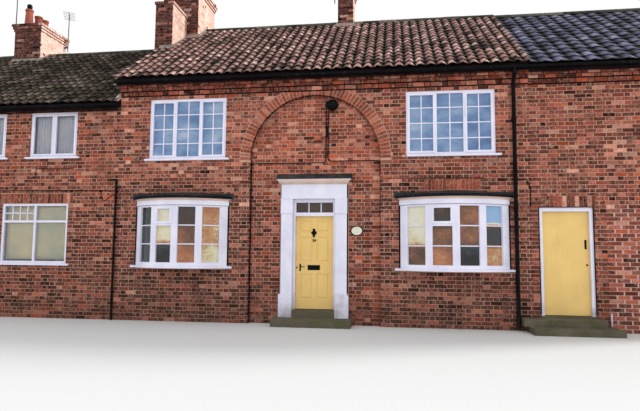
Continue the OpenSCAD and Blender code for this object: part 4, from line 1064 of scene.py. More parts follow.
# Half-round ridge tiles, butted end to end
def lay_ridge():
    bm = bmesh.new()
    turns = np.linspace(0, math.pi, 11)
    rings = [[bm.verts.new((0, radius * math.cos(a), radius * math.sin(a))) for a in turns]
             for radius in (0.115, 0.099)]
    edges = [bm.edges.new(pair) for ring in rings for pair in zip(ring, ring[1:])]
    bmesh.ops.bridge_loops(bm, edges=edges)
    push(bm, bm.faces[:], (1, 0, 0))
    shape = Template(bm)
    points, tones = [], []
    for house, (x0, x1) in SPANS.items():
        if house == "main":
            x0 -= ROOF_LAP
        top = roof_top(EAVES[house], DEPTH / 2)
        count = round((x1 - x0) / 0.45)
        step = (x1 - x0) / count
        for k in range(count):
            left, right = x0 + step * k, x0 + step * (k + 1)
            copy = shape.points.copy()
            copy[:, 0] = left + 0.003 + copy[:, 0] * (right - left - 0.006)
            copy[:, 1] = DEPTH / 2 + copy[:, 1] + draws.normal(0, 0.002)
            copy[:, 2] = top - 0.018 + copy[:, 2] * 0.98 + draws.normal(0, 0.002)
            points.append(copy)
            tones.append((draws.random(), draws.random(), 0.4 * draws.random()))
    laid = shape.join("ridge_tiles_laid", np.array(points), tones, ridge_clay, "ridge_clay")
    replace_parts(laid, "ridge_tiles")


lay_ridge()


# Cement fillets where the stacks leave the roofs
def fillet(bm, foot, corner, top, way):
    """Three-cornered strip: the section foot, corner, top at one end, pushed along a vector."""
    push(bm, [bm.faces.new([bm.verts.new(p) for p in (foot, corner, top)])], way)


def stack_fillets():
    bm = bmesh.new()
    wide, sunk, middle = 0.11, 0.02, DEPTH / 2
    slope = math.tan(PITCH)

    def across(x, y, wall_y, z, length):
        fillet(bm, (x, y, z - wide * slope), (x, wall_y, z - sunk), (x, wall_y, z + wide), (length, 0, 0))

    def along(x, wall_x, y, z, run):
        fillet(bm, (x, y, z - sunk), (wall_x, y, z - sunk), (wall_x, y, z + wide * 0.8),
               (0, run, abs(run) * slope))

    for name, (x0, y0, x1, y1, _) in STACKS.items():
        eaves = EAVES["left" if name == "left" else "main"]
        front_z, back_z = [roof_top(eaves, y) + 0.045 for y in (y0, y1)]
        left = MAIN_L - ROOF_LAP if name == "party_front" else x0 - 0.06
        across(left, y0 - wide, y0 + 0.01, front_z, x1 - left + 0.06)
        ridge = min(y1, middle)
        for x, way in ((x0, -1), (x1, 1)):
            if "party" in name and way < 0:
                continue
            along(x + way * wide, x - way * 0.01, y0, front_z, ridge - y0)
            if y1 > middle:
                along(x + way * wide, x - way * 0.01, y1, back_z, middle - y1)
        if y1 > middle:
            across(x0 - 0.06, y1 + wide, y1 - 0.01, back_z, x1 - x0 + 0.12)
    piece_from("stack_fillets", bm, cement)


stack_fillets()


# Glazing bars, and the casements that hang in pairs beside the main house
BAR = 0.024
GLASS_Y = 0.0525
FRAME_W = 0.05


def casement(bm, x0, x1, z0, z1):
    """Four rails that lap onto the frame round one light."""
    lap, rail = 0.014, 0.042
    a, b, c, d = x0 - lap, x1 + lap, z0 - lap, z1 + lap
    for left, right in ((a, a + rail), (b - rail, b)):
        board(bm, (left, 0.003, c), (right, 0.048, d), 0.004)
    for low, high in ((c, c + rail), (d - rail, d)):
        board(bm, (a + rail - 0.003, 0.0036, low), (b - rail + 0.003, 0.0475, high), 0.004)


def three_lights(x, width):
    """Width of a light, and the middles of the three, in a window of the main house."""
    light = (width - 4 * FRAME_W) / 3
    return light, [x + k * (light + FRAME_W) for k in (-1, 0, 1)]


def bars():
    bm = bmesh.new()
    for x, width, foot, head in UPPER_WINDOWS:
        light, middles = three_lights(x, width)
        for middle, inset in zip(middles, (0.028, 0.0, 0.028)):
            a, b = middle - light / 2 + inset, middle + light / 2 - inset
            c, d = foot + FRAME_W + inset, head - FRAME_W - inset
            board(bm, (middle - BAR / 2, GLASS_Y - 0.014, c), (middle + BAR / 2, GLASS_Y, d), 0.004)
            for z in (3.885, 4.21, 4.535):
                board(bm, (a, GLASS_Y - 0.012, z - BAR / 2), (b, GLASS_Y, z + BAR / 2), 0.004)
    for x, width, foot, head in LEFT_LOWER:
        a, b = x - width / 2 + FRAME_W, x - FRAME_W / 2
        for k in (1, 2, 3):
            u = a + (b - a) * k / 4
            board(bm, (u - BAR / 2, GLASS_Y - 0.012, 2.18), (u + BAR / 2, GLASS_Y, 2.51))
        board(bm, (a, GLASS_Y - 0.012, 2.333), (b, GLASS_Y, 2.357))
    for x in (-0.133, 0.133):
        board(bm, (x - BAR / 2, 0.2, 2.35), (x + BAR / 2, 0.2148, 2.565))
    for x, width, foot, head in LEFT_UPPER + RIGHT_WINDOWS:
        for side in (-1, 1):
            inner, outer = x + side * FRAME_W / 2, x + side * (width / 2 - FRAME_W)
            casement(bm, min(inner, outer), max(inner, outer), foot + FRAME_W, head - FRAME_W)
    piece_from("glazing_bars", bm, white_paint)


bars()


def cut_behind(bm, y):
    """Takes off what lies behind a plane in the wall, and closes the cut."""
    parts = bm.verts[:] + bm.edges[:] + bm.faces[:]
    cut = bmesh.ops.bisect_plane(bm, geom=parts, plane_co=(0, y, 0), plane_no=(0, 1, 0), clear_outer=True)
    bmesh.ops.holes_fill(bm, edges=[e for e in cut["geom_cut"] if isinstance(e, bmesh.types.BMEdge)])


# Bow windows: jambs, three mullions and four lights, set out along each curve
BOW_P = 0.42
JAMB, MULLION = 0.19, 0.145
SILL_Z, HEAD_Z = 1.19, 2.485


class Bow:
    """Measures of one bow window; angles run from the middle of its curve."""

    def __init__(self, x, chord, bar_levels, tones):
        self.radius = (chord * chord / 4 + BOW_P * BOW_P) / (2 * BOW_P)
        self.half = math.asin(chord / 2 / self.radius)
        self.centre = Vector((x, self.radius - BOW_P, 0))
        self.light = (2 * self.half * self.radius - 2 * JAMB - 3 * MULLION) / 4
        self.bar_levels, self.tones = bar_levels, tones

    def edges(self, light):
        left = JAMB + light * (self.light + MULLION)
        return left / self.radius - self.half, (left + self.light) / self.radius - self.half

    def reach(self, out):
        """Angle at which a ring that stands out so far meets the brick face."""
        return math.acos(self.centre.y / (self.radius + out))

    def turn(self, bm, section, start, end, steps):
        """Turns a closed section, given by distance from the frame's face and height, about the axis."""
        spots = []
        for out, z in section:
            r = self.radius + out
            spots.append(self.centre + Vector((r * math.sin(start), -r * math.cos(start), z)))
        face = bm.faces.new([bm.verts.new(spot) for spot in spots])
        bmesh.ops.spin(bm, geom=[face], cent=self.centre, axis=(0, 0, 1), dvec=(0, 0, 0), angle=end - start,
                       steps=steps, use_duplicate=False)

    def ring(self, bm, back, face, z0, z1, start, end, steps=6, edge=0.004):
        """A curved board with eased front edges."""
        self.turn(bm, [(back, z0), (face - edge, z0), (face, z0 + edge), (face, z1 - edge), (face - edge, z1),
                       (back, z1)], start, end, steps)


# Each bow: middle, chord, heights of its bars, and the tones of painted reflection in its lights at foot,
# middle and head
BOWS = [
    Bow(-2.905, 2.08, (2.056, 1.658),
        [(0.17, 0.15, 0.08), (0.02, 0.76, 0.84), (0.54, 0.42, 0.26), (0.74, 0.65, 0.63)]),
    Bow(2.885, 2.165, (2.051, 1.650),
        [(0.36, 0.82, 0.84), (0.54, 0.42, 0.26), (0.02, 0.46, 0.46), (0.67, 0.16, 1.12)]),
]
# The light of each bow with the small opening part, and how deep pieces reach into the wall
OPENING, WALL_STOP = 1, 0.02


def bow_frames():
    bm = bmesh.new()
    for bow in BOWS:
        half, r = bow.half, bow.radius
        bow.ring(bm, -0.095, 0.0, SILL_Z, 1.27, -half, half, 24)
        bow.ring(bm, -0.095, 0.0, 2.445, HEAD_Z + 0.004, -half, half, 24)
        for start in (-half, half - JAMB / r):
            bow.ring(bm, -0.094, -0.001, 1.264, 2.451, start, start + JAMB / r, 4)
        for light in range(3):
            middle = (bow.edges(light)[1] + bow.edges(light + 1)[0]) / 2
            post = board(bm, (-MULLION / 2, 0.002 - r, 1.264), (MULLION / 2, 0.094 - r, 2.451), 0.005)
            bmesh.ops.rotate(bm, verts=post, cent=(0, 0, 0), matrix=Matrix.Rotation(middle, 3, "Z"))
            bmesh.ops.translate(bm, verts=post, vec=bow.centre)
        start, end = bow.edges(OPENING)
        bow.ring(bm, -0.095, 0.0, 2.04, 2.09, start - 0.01, end + 0.01)
        lap, stile = 0.018 / r, 0.052 / r
        bow.ring(bm, -0.060, 0.014, 2.085, 2.137, start - lap, end + lap)
        bow.ring(bm, -0.060, 0.014, 2.401, 2.453, start - lap, end + lap)
        for side in (start - lap, end + lap - stile):
            bow.ring(bm, -0.0597, 0.0137, 2.13, 2.41, side, side + stile, 2)
        for light in range(4):
            start, end = bow.edges(light)
            for z in bow.bar_levels[1 if light == OPENING else 0:]:
                section = [(-0.047, z - 0.014), (-0.030, z - 0.009), (-0.030, z + 0.009), (-0.047, z + 0.014)]
                bow.turn(bm, section, start - 0.01, end + 0.01, 6)
    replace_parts(piece_from("bow_frames_made", bm, white_paint), "bow_window_frames")


def bow_panes():
    bm = bmesh.new()
    layer = bm.verts.layers.float_color.new("tone")
    foot, head = 1.262, 2.453
    shares = (0.1, 0.28, 0.38, 0.62, 0.72, 0.9)
    for bow in BOWS:
        for light, tones in enumerate(bow.tones):
            start, end = bow.edges(light)
            for z0, z1 in ([(foot, 2.048), (2.12, 2.42)] if light == OPENING else [(foot, head)]):
                levels = list(np.linspace(z0, z1, 12))
                section = [(-0.046, z) for z in levels] + [(-0.052, z) for z in reversed(levels)]
                known = set(bm.verts)
                bow.turn(bm, section, start - 0.004, end + 0.004, 6)
                for vert in bm.verts:
                    if vert not in known:
                        share = (vert.co.z - foot) / (head - foot)
                        vert[layer] = (np.interp(share, shares, np.repeat(tones, 2)), 0.5, 0, 1)
    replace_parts(piece_from("bow_panes", bm, bow_glass), "bow_glass")


def bow_mouldings():
    """The band over each bow's lights, and the hollow moulding on it, which is coloured in warm painted
    shade.
    """
    bands, hollows = bmesh.new(), bmesh.new()
    turns = np.linspace(math.pi, math.pi / 2, 7)
    hollow = [(0.060 + 0.045 * math.cos(a), 2.58 + 0.045 * math.sin(a)) for a in turns]
    hollow = [(-0.095, 2.579), (0.014, 2.579), *hollow, (0.060, 2.635), (-0.095, 2.635)]
    band = [(-0.095, HEAD_Z), (0.012, HEAD_Z), (0.015, HEAD_Z + 0.003), (0.015, 2.581), (-0.095, 2.581)]
    for bow in BOWS:
        bow.turn(bands, band, -bow.reach(0.015), bow.reach(0.015), 32)
        bow.turn(hollows, hollow, -bow.reach(0.06), bow.reach(0.06), 32)
    cut_behind(bands, WALL_STOP)
    cut_behind(hollows, WALL_STOP)
    smooth = math.radians(25)
    piece_from("bow_hollows", hollows, hollow_painted_shade, smooth=smooth)
    made = piece_from("bow_mouldings", bands, white_paint, smooth=smooth)
    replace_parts(made, "bow_window_cornices")


def lead_covers():
    """A cone of lead with a deep edge over each bow, an upstand on the wall, and the cap over the door; the
    deep edge is in darker lead, painted shade.
    """
    covers, edge = bmesh.new(), bmesh.new()
    inner = -BOW_P - 0.01
    top = 2.69 + 0.22 * (0.06 - inner)
    cone = [(inner, 2.636), (0.055, 2.636), (0.068, 2.684), (0.062, 2.690), (inner, top)]
    roll = [(0.05, 2.632), (0.062, 2.627), (0.070, 2.627), (0.073, 2.632), (0.073, 2.680), (0.066, 2.686),
            (0.05, 2.686)]
    for bow in BOWS:
        bow.turn(covers, cone, -bow.reach(0.06), bow.reach(0.06), 32)
        bow.turn(edge, roll, -bow.reach(0.066), bow.reach(0.066), 32)
    cut_behind(covers, WALL_STOP)
    cut_behind(edge, WALL_STOP)
    piece_from("lead_edge", edge, lead_in_painted_shade)
    for bow in BOWS:
        wide = bow.radius * math.sin(bow.half) + 0.12
        board(covers, (bow.centre.x - wide, -0.014, 2.64), (bow.centre.x + wide, 0.004, 2.755), 0.005)
    cap = bmesh.ops.create_cube(covers, size=1)["verts"]
    bmesh.ops.scale(covers, vec=(1.604, 0.192, 0.13), verts=cap)
    bmesh.ops.translate(covers, vec=(0, 0.014, 3.115), verts=cap)
    bmesh.ops.translate(covers, vec=(0, 0, -0.07), verts=[v for v in cap if v.co.z > 3.1 and v.co.y < 0])
    ease(covers, list({e for v in cap for e in v.link_edges}), 0.008, 2)
    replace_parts(piece_from("lead_dressed", covers, lead), "lead_roofs")


def sills():
    """Curved sills of the bows, and straight ones under every other window."""
    bm = bmesh.new()
    for bow in BOWS:
        bow.ring(bm, -0.115, 0.045, 1.145, SILL_Z, -bow.reach(0.045), bow.reach(0.045), 28, 0.007)
        wide = bow.radius * math.sin(bow.half) + 0.11
        board(bm, (bow.centre.x - wide, -0.045, 1.1455), (bow.centre.x + wide, 0.01, SILL_Z - 0.0005), 0.006)
    cut_behind(bm, WALL_STOP)
    front = [UPPER_WINDOWS[0], (2.9, 1.715, 3.54, 4.88), *RIGHT_WINDOWS, *LEFT_UPPER, *LEFT_LOWER]
    for windows, y, sign in ((front, 0.0, -1), (REAR_UPPER + REAR_LOWER, DEPTH, 1)):
        for x, width, z, _ in windows:
            near, far = sorted((y, y + sign * 0.06))
            reach = width / 2 + SILL_REACH
            board(bm, (x - reach, near, z - SILL_TALL), (x + reach, far, z), 0.006)
    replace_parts(piece_from("sills_made", bm, white_paint), "window_sills")


bow_frames()
bow_panes()
bow_mouldings()
lead_covers()
sills()


def tube(bm, path, radius, sides=8):
    """A round bar along a path: a disc that is pushed from point to point."""
    path = [Vector(spot) for spot in path]
    disc = bmesh.ops.create_circle(bm, cap_ends=True, radius=radius, segments=sides)["verts"]
    turn = (path[1] - path[0]).to_track_quat("Z", "Y").to_matrix()
    for vert in disc:
        vert.co = path[0] + turn @ vert.co
    end = disc[0].link_faces[0]
    for k in range(1, len(path)):
        grown = bmesh.ops.extrude_face_region(bm, geom=[end])["geom"]
        end = next(g for g in grown if isinstance(g, bmesh.types.BMFace))
        ahead = (path[k] - path[k - 1]).normalized()
        after = (path[k + 1] - path[k]).normalized() if k + 1 < len(path) else ahead
        plane = (ahead + after).normalized()
        for vert in end.verts:
            vert.co += ahead * ((path[k] - vert.co).dot(plane) / ahead.dot(plane))


def rounded(path, radius, parts=5):
    """The same path with its corners rounded."""
    path = [Vector(spot) for spot in path]
    found = [path[0]]
    for before, corner, after in zip(path, path[1:], path[2:]):
        first = corner + (before - corner).normalized() * radius
        last = corner + (after - corner).normalized() * radius
        for share in np.linspace(0, 1, parts):
            found.append(first * (1 - share) ** 2 + corner * 2 * share * (1 - share) + last * share ** 2)
    return found + [path[-1]]


def lathe(bm, profile, centre, axis, steps=28):
    """Turns a profile of distance from the axis and place along it into a closed form."""
    across = X if abs(axis.x) < 0.5 else Z
    verts = [bm.verts.new(Vector(centre) + across * r + axis * along) for r, along in profile]
    edges = [bm.edges.new(pair) for pair in zip(verts, verts[1:])]
    bmesh.ops.spin(bm, geom=verts + edges, cent=centre, axis=axis, dvec=(0, 0, 0), angle=2 * math.pi,
                   steps=steps, use_merge=True, use_duplicate=False)
    bmesh.ops.remove_doubles(bm, verts=bm.verts[:], dist=0.00005)


# Round lamp in the arch, and the two cables clipped to the brick below it
def arch_lamp():
    bm = bmesh.new()
    profile = [(0.0, 0.150), (0.050, 0.144), (0.078, 0.126), (0.092, 0.100), (0.096, 0.075), (0.112, 0.070),
               (0.118, 0.060), (0.118, 0.006), (0.110, 0.0), (0.0, 0.0)]
    lathe(bm, profile, (0.380, RECESS - 0.004, 4.665), -Y, 32)
    board(bm, (0.235, RECESS - 0.085, 4.615), (0.315, RECESS, 4.735), 0.008)
    board(bm, (0.235, RECESS - 0.032, 3.985), (0.300, RECESS, 4.225), 0.006)
    made = piece_from("arch_lamp", bm, black_iron, smooth=math.radians(30))
    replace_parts(made, "wall_lamp")
    bm = bmesh.new()
    y = RECESS - 0.013
    left_x, right_x = -ARCH_R + 0.016, ARCH_R - 0.013
    for route in ([(0.250, 4.63), (0.242, 4.50), (0.242, 3.42), (left_x, 3.42), (left_x, 3.12)],
                  [(0.300, 4.63), (0.288, 4.50), (0.288, 3.45), (right_x, 3.45), (right_x, 3.10)]):
        tube(bm, rounded([(x, y, z) for x, z in route], 0.07), 0.010)
    for z in np.arange(3.60, 4.40, 0.19):
        board(bm, (0.225, y - 0.012, z), (0.305, RECESS, z + 0.014))
    for spots, z in ((np.arange(-1.30, 0.20, 0.25), 3.407), (np.arange(0.42, 1.36, 0.25), 3.437)):
        for x in spots:
            board(bm, (x, y - 0.012, z), (x + 0.014, RECESS, z + 0.026))
    piece_from("lamp_cables", bm, black_plastic)


# Cables clipped to the faces of the other walls: radius of cable and bends, and the way in x and z
WALL_CABLES = (
    (0.007, 0, [(-11.0, 2.880), (-5.82, 2.862), (-4.46, 2.838)]),
    (0.008, 0.04, [(-4.83, 2.850), (-4.81, 2.68), (-4.717, 2.598), (-4.63, 2.70), (-4.46, 2.765)]),
    (0.006, 0.05, [(1.41, 3.055), (2.2, 3.045), (3.5, 3.04)]),
    (0.007, 0.02, [(-6.60, 3.13), (-6.45, 3.18), (-6.44, 3.358), (-5.52, 3.352)]),
    (0.009, 0.05, [(4.14, 3.01), (4.335, 2.995), (4.39, 2.80), (4.387, 2.46)]),
)


def wall_cables():
    bm = bmesh.new()
    y = -0.012
    for radius, bend, route in WALL_CABLES:
        path = [(x, y, z) for x, z in route]
        tube(bm, rounded(path, bend) if bend else path, radius)
    clips = ((np.arange(-10.8, -5.1, 0.55), 2.856, 2.890), (np.arange(1.6, 3.5, 0.45), 3.034, 3.060))
    for spots, low, high in clips:
        for x in spots:
            board(bm, (x, y - 0.008, low), (x + 0.012, 0.0, high), 0.002)
    piece_from("wall_cables", bm, black_plastic)


def gutter_brackets():
    bm = bmesh.new()
    centre_y, z, inner, outer = -0.207, 5.281, 0.0575, 0.0635
    for x in (-4.1, -3.2, -2.195, -1.2, -0.148, 0.979, 2.159, 3.2, 4.667, 5.869, 7.0, 8.1):
        section = ((0, inner), (0.03, inner), (0.03, outer), (0, outer))
        face = bm.faces.new([bm.verts.new((x + dx, centre_y - r, z)) for dx, r in section])
        bmesh.ops.spin(bm, geom=[face], cent=(x, centre_y, z), axis=X, dvec=(0, 0, 0), angle=math.pi,
                       steps=10, use_duplicate=False)
        board(bm, (x, centre_y + inner, z - 0.02), (x + 0.03, -EAVES_OVER + 0.004, z + 0.012), 0.002)
    piece_from("gutter_brackets", bm, black_plastic)


def numerals(digits, height, depth, middle, y):
    """Plain cut-out numerals on a door, made a mesh before they are placed."""
    curve = bpy.data.curves.new("numerals", "FONT")
    curve.body = digits
    curve.size = height / 0.7
    curve.extrude = depth / 2
    curve.offset = 0.0035
    curve.align_x = "CENTER"
    curve.align_y = "CENTER"
    holder = bpy.data.objects.new("numerals", curve)
    mesh = bpy.data.meshes.new_from_object(holder)
    bm = bmesh.new()
    bm.from_mesh(mesh)
    bmesh.ops.rotate(bm, verts=bm.verts[:], cent=(0, 0, 0), matrix=Matrix.Rotation(math.pi / 2, 3, "X"))
    bmesh.ops.translate(bm, verts=bm.verts[:], vec=(middle[0], y - depth / 2, middle[1]))
    bmesh.ops.remove_doubles(bm, verts=bm.verts[:], dist=0.00001)
    bpy.data.objects.remove(holder)
    bpy.data.meshes.remove(mesh)
    return bm


def door_furniture():
    """Knocker, letter plate, lever handle and keyhole of the front door; plate and lock of the side door."""
    bm = bmesh.new()
    face, urn_x = 0.205, -0.018
    urn = [(0.0, 1.820), (0.018, 1.828), (0.028, 1.846), (0.020, 1.860), (0.034, 1.878), (0.054, 1.900),
           (0.064, 1.920), (0.058, 1.940), (0.036, 1.955), (0.026, 1.968), (0.032, 1.982), (0.028, 2.000),
           (0.012, 2.012), (0.0, 2.016)]
    lathe(bm, urn, (urn_x, face, 0), Z, 20)
    for vert in bm.verts:
        vert.co.y = face + 0.002 + min(0.0, (vert.co.y - face) * 0.6)
    cut_behind(bm, face + 0.001)
    turns = np.linspace(-3.6, 0.46, 14)
    ring = [(urn_x + 0.020 * math.cos(a), face - 0.030, 1.858 + 0.026 * math.sin(a)) for a in turns]
    tube(bm, ring, 0.005, 6)
    board(bm, (-0.149, face - 0.008, 1.127), (0.116, face + 0.001, 1.234))
    board(bm, (-0.134, face - 0.013, 1.140), (0.101, face - 0.006, 1.214))
    tube(bm, [(-0.134, face - 0.011, 1.217), (0.101, face - 0.011, 1.217)], 0.005, 8)
    board(bm, (-0.325, face - 0.009, 1.105), (-0.293, face + 0.001, 1.257), 0.006)
    lever = [(-0.309, face - 0.004, 1.200), (-0.309, face - 0.052, 1.200), (-0.204, face - 0.052, 1.194)]
    tube(bm, rounded(lever, 0.018), 0.008, 10)
    keyhole = [(0.0, 0.006), (0.012, 0.006), (0.018, 0.003), (0.018, -0.001), (0.0, -0.001)]
    lathe(bm, keyhole, (-0.387, face, 1.177), -Y, 18)
    smooth = math.radians(30)
    made = piece_from("door_furniture_made", bm, black_iron, "front_door_leaf", smooth)
    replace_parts(made, "front_door_furniture")
    bm = numerals("24", 0.052, 0.006, (-0.012, 1.757), face + 0.0005)
    piece_from("door_numerals", bm, black_iron, "front_door_leaf")
    bm = bmesh.new()
    board(bm, (5.409, 0.089, 1.608), (5.450, 0.096, 1.790))
    lock = [(0.0, 0.005), (0.016, 0.005), (0.020, 0.002), (0.020, -0.001), (0.0, -0.001)]
    lathe(bm, lock, (5.448, 0.095, 1.295), -Y, 18)
    piece_from("side_door_plate", bm, black_iron, "side_door_leaf")


def bare_plaque():
    """An oval enamel plaque in a dark rim, with nothing on it."""
    bm = bmesh.new()
    middle = Vector((0.905, RECESS, 1.96))
    oval = bmesh.ops.create_circle(bm, cap_ends=True, radius=1, segments=40)["verts"]
    face = oval[0].link_faces[0]
    bmesh.ops.scale(bm, vec=(0.112, 0.088, 1), verts=oval)
    bmesh.ops.rotate(bm, verts=oval, cent=(0, 0, 0), matrix=Matrix.Rotation(math.pi / 2, 3, "X"))
    bmesh.ops.translate(bm, verts=oval, vec=middle)
    for inset, out in ((0.0, -0.010), (0.006, -0.004), (0.010, 0.002)):
        grown = bmesh.ops.extrude_face_region(bm, geom=[face])["geom"]
        face = next(g for g in grown if isinstance(g, bmesh.types.BMFace))
        centre = face.calc_center_median()
        for vert in face.verts:
            vert.co += (centre - vert.co).normalized() * inset + Vector((0, out, 0))
    piece_from("bare_plaque", bm, enamel, smooth=math.radians(40))
    bm = bmesh.new()
    lathe(bm, [(0.0, 0.008), (0.132, 0.008), (0.136, 0.004), (0.136, 0.0), (0.0, 0.0)], middle, -Y, 40)
    bmesh.ops.scale(bm, vec=(1, 1, 0.8), space=Matrix.Translation((0, 0, -middle.z)), verts=bm.verts[:])
    piece_from("plaque_rim", bm, black_iron)


def small_pipes():
    """A short pipe at the foot of the right house, and the cowl on the tall pot of the left house."""
    bm = bmesh.new()
    tube(bm, [(5.82, -0.03, 0.10), (5.82, -0.03, 0.37)], 0.016, 12)
    piece_from("short_white_pipe", bm, white_paint)
    bm = bmesh.new()
    cowl = [(0.0, 9.085), (0.050, 9.072), (0.076, 9.035), (0.076, 8.955), (0.058, 8.945), (0.058, 8.915),
            (0.100, 8.908), (0.100, 8.8955), (0.0, 8.8955)]
    lathe(bm, cowl, (-9.463, 3.417, 0), Z, 24)
    piece_from("pot_cowl", bm, black_iron)


# Where the lower roof meets the main house's side wall: a strip of pale mortar up the slope
def roof_flashing():
    bm = bmesh.new()
    y0 = -EAVES_OVER + 0.01
    z0 = roof_top(EAVES["left"], y0)
    reach = DEPTH / 2 - y0
    wall_x = MAIN_L + 0.004
    for y, way in ((y0, 1), (DEPTH - y0, -1)):
        fillet(bm, (MAIN_L - 0.13, y, z0 + 0.03), (wall_x, y, z0 + 0.02), (wall_x, y, z0 + 0.17),
               (0, way * reach, reach * math.tan(PITCH)))
    piece_from("roof_flashing", bm, pale_flashing)


# Cloth behind the panes
def cloth_piece(name, points, material):
    """A sheet from rows of points; it is given its thickness at the end."""
    bm = bmesh.new()
    rows, columns = points.shape[:2]
    bmesh.ops.create_grid(bm, x_segments=columns - 1, y_segments=rows - 1, size=1)
    bm.verts.ensure_lookup_table()
    for number, vert in enumerate(bm.verts):
        vert.co = points[number // columns][number % columns]
    mesh = bpy.data.meshes.new(name)
    for face in bm.faces:
        face.smooth = True
    bm.to_mesh(mesh)
    bm.free()
    piece = bpy.data.objects.new(name, mesh)
    thick = piece.modifiers.new("cloth", "SOLIDIFY")
    thick.thickness = 0.0012
    thick.offset = 0
    dress(piece, material)


def curtain_rod(name, path):
    bm = bmesh.new()
    tube(bm, path, 0.006, 8)
    piece_from(name, bm, steel)


def net_curtains():
    """Gathered nets on a wire across each upper window of the left house."""
    y = 0.125
    for number, (x, *_) in enumerate(LEFT_UPPER):
        a, b, low, high = x - 0.50, x + 0.50, 3.69, 4.59
        curtain_rod("net_rod_%d" % (number + 1), [(x - 0.575, y, high), (x + 0.575, y, high)])
        across = np.linspace(a, b, 121)
        rows = []
        for z in np.linspace(high + 0.004, low, 14):
            drop = (high - z) / (high - low)
            depth = 0.018 + 0.016 * drop
            wave = np.sin(across * 2 * math.pi / 0.071 + 1.2 * np.sin(across * 5 + number)) * depth
            rows.append(np.stack([across, y + 0.022 + wave * 0.9, np.full_like(across, z)], axis=1))
        points = np.array(rows)
        cloth_piece("net_curtain_%d" % (number + 1), points, net_cloth)


def blinds():
    """Plain roller blinds: one in the left house's lower window, one in the right bow's first light."""
    x, y = LEFT_LOWER[0][0], 0.120
    curtain_rod("low_window_roller", [(x - 0.815, y, 2.53), (x + 0.815, y, 2.53)])
    across = np.linspace(x - 0.76, x + 0.76, 13)
    rows = [np.stack([across, np.full_like(across, y - 0.007), np.full_like(across, z)], axis=1)
            for z in np.linspace(2.53, 1.30, 9)]
    cloth_piece("low_window_blind", np.array(rows), blind_cloth)
    bow = BOWS[1]
    start, end = bow.edges(0)
    turns = np.linspace(start - 0.012, end + 0.012, 9)
    def curve(radius, z):
        return [bow.centre + Vector((radius * math.sin(t), -radius * math.cos(t), z)) for t in turns]

    curtain_rod("bow_blind_rail", curve(bow.radius - 0.087, 2.44))
    rows = np.array([curve(bow.radius - 0.075, z) for z in np.linspace(2.446, 1.66, 8)])
    cloth_piece("bow_blind", rows, blind_cloth)


def pane(bm, x0, x1, z0, z1, y=GLASS_Y, lap=0.004):
    board(bm, (x0 - lap, y, z0 - lap), (x1 + lap, y + 0.006, z1 + lap), 0.0)


def pair(bm, x, width, foot, head, y=GLASS_Y, transoms=()):
    """Two lights side by side, parted again by a transom where one is given."""
    levels = [foot + FRAME_W, *transoms, head - FRAME_W]
    inner, outer = FRAME_W / 2, width / 2 - FRAME_W
    for left, right in ((x - outer, x - inner), (x + inner, x + outer)):
        for number in range(len(levels) - 1):
            low = levels[number] + (FRAME_W / 2 if number else 0.0)
            high = levels[number + 1] - (FRAME_W / 2 if number + 2 < len(levels) else 0.0)
            pane(bm, left, right, low, high, y)


def window_panes():
    """Mirroring panes upstairs and at the back, and clear ones where cloth hangs behind."""
    rear_y = DEPTH - GLASS_Y - 0.006
    sky, room, clear, fan = bmesh.new(), bmesh.new(), bmesh.new(), bmesh.new()
    for x, width, foot, head in UPPER_WINDOWS:
        light, middles = three_lights(x, width)
        for middle in middles:
            pane(sky, middle - light / 2, middle + light / 2, foot + FRAME_W, head - FRAME_W)
    pair(sky, *RIGHT_WINDOWS[0])
    for window in REAR_UPPER:
        pair(sky, *window, rear_y)
    for window in LEFT_UPPER:
        pair(clear, *window)
    for panes, window in zip((clear, room), LEFT_LOWER):
        pair(panes, *window, transoms=(2.155,))
    pair(room, *RIGHT_WINDOWS[1])
    for window in REAR_LOWER:
        pair(room, *window, rear_y)
    pane(fan, -0.40, 0.40, 2.35, 2.565, 0.215, 0.0)
    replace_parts(piece_from("upper_panes", sky, sky_glass), "upper_glass")
    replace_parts(piece_from("lower_panes", room, room_glass), "lower_glass")
    piece_from("clear_panes", clear, clear_glass)
    piece_from("fanlight_panes", fan, fan_glass)


def six_panel_leaf():
    """Stiles and rails round six raised panels, as the front door shows them."""
    bm = bmesh.new()
    columns = [(-0.315, -0.052), (0.039, 0.308)]
    rows = [(0.517, 1.048), (1.304, 1.832), (1.942, 2.177)]
    near, far, edge, foot, head = 0.205, 0.250, 0.417, 0.309, 2.284
    ends = [-edge, *columns[0], *columns[1], edge]
    levels = [foot, *rows[0], *rows[1], *rows[2], head]
    for x0, x1 in zip(ends[::2], ends[1::2]):
        board(bm, (x0, near, foot), (x1, far, head), 0.002)
    for z0, z1 in zip(levels[::2], levels[1::2]):
        for x0, x1 in columns:
            board(bm, (x0 - 0.004, near + 0.0004, z0), (x1 + 0.004, far - 0.0004, z1), 0.002)
    for x0, x1 in columns:
        for z0, z1 in rows:
            board(bm, (x0 - 0.004, near + 0.013, z0 - 0.004), (x1 + 0.004, far - 0.013, z1 + 0.004), 0.0)
            board(bm, (x0 + 0.028, near + 0.004, z0 + 0.028), (x1 - 0.028, far - 0.004, z1 - 0.028), 0.008)
    made = piece_from("six_panel_leaf", bm, yellow_paint, "front_door_leaf")
    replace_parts(made, "front_door")


def mirrored(bm, x0, x1, near, far, z0, z1):
    """The same plain board left and right of the front door."""
    for side in (-1, 1):
        low, high = sorted((side * x0, side * x1))
        board(bm, (low, near, z0), (high, far, z1), 0.0)


def shadow_joints():
    """Thin strips of painted shadow: under the bows' bands, and between the parts of the door surround."""
    bm = bmesh.new()
    for bow in BOWS:
        bow.ring(bm, -0.02, 0.008, 2.477, 2.486, -bow.half, bow.half, 24, 0.001)
    for z in (2.634, 2.336):
        mirrored(bm, 0.460, 0.701, 0.0188, 0.03, z, z + 0.008)
    piece_from("shadow_joints", bm, painted_joint_shadow)


